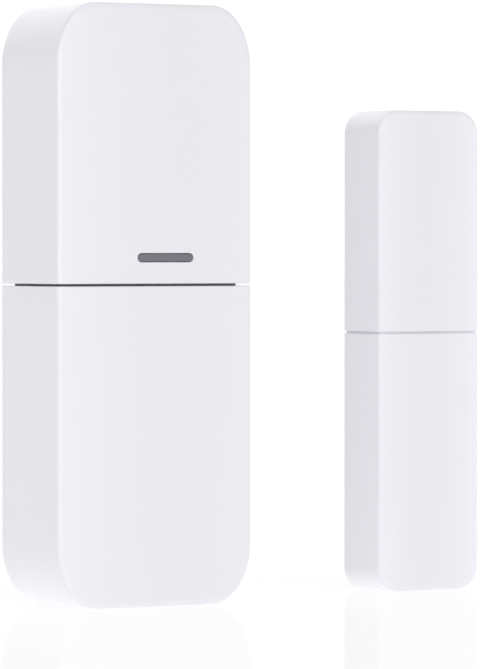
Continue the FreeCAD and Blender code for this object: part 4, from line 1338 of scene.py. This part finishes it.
# Each light: name, place, width and height in metres, power in watts.
LIGHTS = (
    ("Edge strip", (-0.60, -0.36, 0.10), (0.10, 0.6), 4.4),
    ("Corner box", (-0.26, -0.25, 0.62), (0.22, 0.22), 1.3),
    ("Back box", (0.0, 0.65, 0.42), (0.7, 0.4), 1.6),
)


def floor_material():
    """White lit board: nearly even, with a faint mirror image."""
    made = bpy.data.materials.new("Stage floor")
    made.use_nodes = True
    tree = made.node_tree
    tree.nodes.clear()
    matt = node(tree, "BsdfDiffuse", {"Color": FLOOR_TINT}).outputs[0]
    ray = node(tree, "LightPath").outputs
    level = mapped(tree, ray["Is Camera Ray"], 0.0, 1.0, FLOOR_LIGHT, FLOOR_SEEN)
    shine = maths(tree, "MULTIPLY_ADD", ray["Is Glossy Ray"], FLOOR_SHINE, level)
    glow = node(tree, "Emission", {"Color": WHITE, "Strength": shine}).outputs[0]
    both = node(tree, "AddShader", {0: matt, 1: glow}).outputs[0]
    mirror = node(tree, "BsdfGlossy", {"Roughness": FLOOR_BLUR}).outputs[0]
    mix = node(tree, "MixShader", {0: FLOOR_MIRROR, 1: both, 2: mirror}).outputs[0]
    node(tree, "OutputMaterial", {"Surface": mix})
    return made


def white_world():
    """White backdrop, and light that differs a little from side to side."""
    world = bpy.data.worlds.new("Stage world")
    bpy.context.scene.world = world
    world.use_nodes = True
    tree = world.node_tree
    toward = node(tree, "TexCoord").outputs["Generated"]
    total = WORLD_BASE
    for lobe, level in WORLD_LIGHT:
        facing = node(tree, "VectorMath", {0: toward, 1: lobe}, operation="DOT_PRODUCT")
        kept = maths(tree, "MAXIMUM", facing.outputs["Value"], 0.0)
        total = maths(tree, "MULTIPLY_ADD", kept, level, total)
    ray = node(tree, "LightPath").outputs
    height = node(tree, "SeparateXYZ", {0: toward}).outputs["Z"]
    low = mapped(tree, height, BAND_LOW, BAND_HIGH, 1.0, 0.0)
    mirrored = maths(tree, "MULTIPLY", low, ray["Is Glossy Ray"])
    level = node(tree, "Mix", {0: mirrored, 2: total, 3: 1.0}).outputs[0]
    around = tree.nodes["Background"]
    feed(tree, around, {"Color": WHITE, "Strength": level})
    seen = node(tree, "Background", {"Color": WHITE, "Strength": WORLD_SEEN}).outputs[0]
    mix = node(tree, "MixShader", {0: ray["Is Camera Ray"], 1: around.outputs[0], 2: seen})
    feed(tree, tree.nodes["World Output"], {"Surface": mix.outputs[0]})


def mirrored_light(name, place, size, power):
    """Light that only mirror-like surfaces show."""
    lamp = bpy.data.lights.new(name, "AREA")
    lamp.shape = "RECTANGLE"
    lamp.size, lamp.size_y = size
    lamp.energy = power
    made = bpy.data.objects.new(name, lamp)
    made.location = place
    toward = Vector(LIGHT_TARGET) - Vector(place)
    made.rotation_euler = toward.to_track_quat("-Z", "Y").to_euler()
    made.visible_camera = made.visible_diffuse = False
    bpy.context.scene.collection.objects.link(made)


def stage_floor():
    bm = bmesh.new()
    bmesh.ops.create_grid(bm, x_segments=2, y_segments=2, size=FLOOR_HALF)
    floor = solid(bm)
    floor.name = "Stage_floor"
    floor.data.materials.append(floor_material())


def stage_camera():
    lens = bpy.data.cameras.new("Stage camera")
    lens.lens = VIEW_LENS
    lens.clip_start, lens.clip_end = 0.01, 50.0
    camera = bpy.data.objects.new("Stage camera", lens)
    camera.location = VIEW_PLACE
    camera.rotation_euler = (math.pi / 2 - VIEW_PITCH, 0.0, -VIEW_YAW)
    bpy.context.scene.collection.objects.link(camera)
    bpy.context.scene.camera = camera


class SENSOR_OT_stage(bpy.types.Operator):
    """Floor, lights, world and camera"""

    bl_idname = "sensor.stage"
    bl_label = "Stage"

    def execute(self, context):
        context.scene.view_settings.view_transform = "Standard"
        white_world()
        stage_floor()
        stage_camera()
        for light in LIGHTS:
            mirrored_light(*light)
        return {"FINISHED"}


STEPS = (
    SENSOR_OT_upper_housing, SENSOR_OT_battery_cover, SENSOR_OT_magnet_housing,
    SENSOR_OT_chassis, SENSOR_OT_status_light, SENSOR_OT_circuit_board,
    SENSOR_OT_board_parts, SENSOR_OT_reed_switch, SENSOR_OT_antenna_coil,
    SENSOR_OT_push_switches, SENSOR_OT_battery, SENSOR_OT_contacts,
    SENSOR_OT_fasteners, SENSOR_OT_pads, SENSOR_OT_bar_magnet, SENSOR_OT_stage,
)


class SENSOR_PT_panel(bpy.types.Panel):
    """Sizes, colours and steps of the sensor"""

    bl_label = "Door contact sensor"
    bl_idname = "SENSOR_PT_panel"
    bl_space_type = "VIEW_3D"
    bl_region_type = "UI"
    bl_category = "Sensor"

    def draw(self, context):
        for held in (context.scene.sensor_sizes, context.scene.sensor_colours):
            box = self.layout.box()
            for name in held.__annotations__:
                box.prop(held, name)
        for step in STEPS:
            self.layout.operator(step.bl_idname)


CLASSES = (SensorSizes, SensorColours, *STEPS, SENSOR_PT_panel)


def register():
    for held in CLASSES:
        bpy.utils.register_class(held)
    bpy.types.Scene.sensor_sizes = PointerProperty(type=SensorSizes)
    bpy.types.Scene.sensor_colours = PointerProperty(type=SensorColours)


def unregister():
    del bpy.types.Scene.sensor_colours
    del bpy.types.Scene.sensor_sizes
    for held in reversed(CLASSES):
        bpy.utils.unregister_class(held)


def main():
    register()
    for step in STEPS:
        area, name = step.bl_idname.split(".")
        getattr(getattr(bpy.ops, area), name)()


if __name__ == "__main__":
    main()
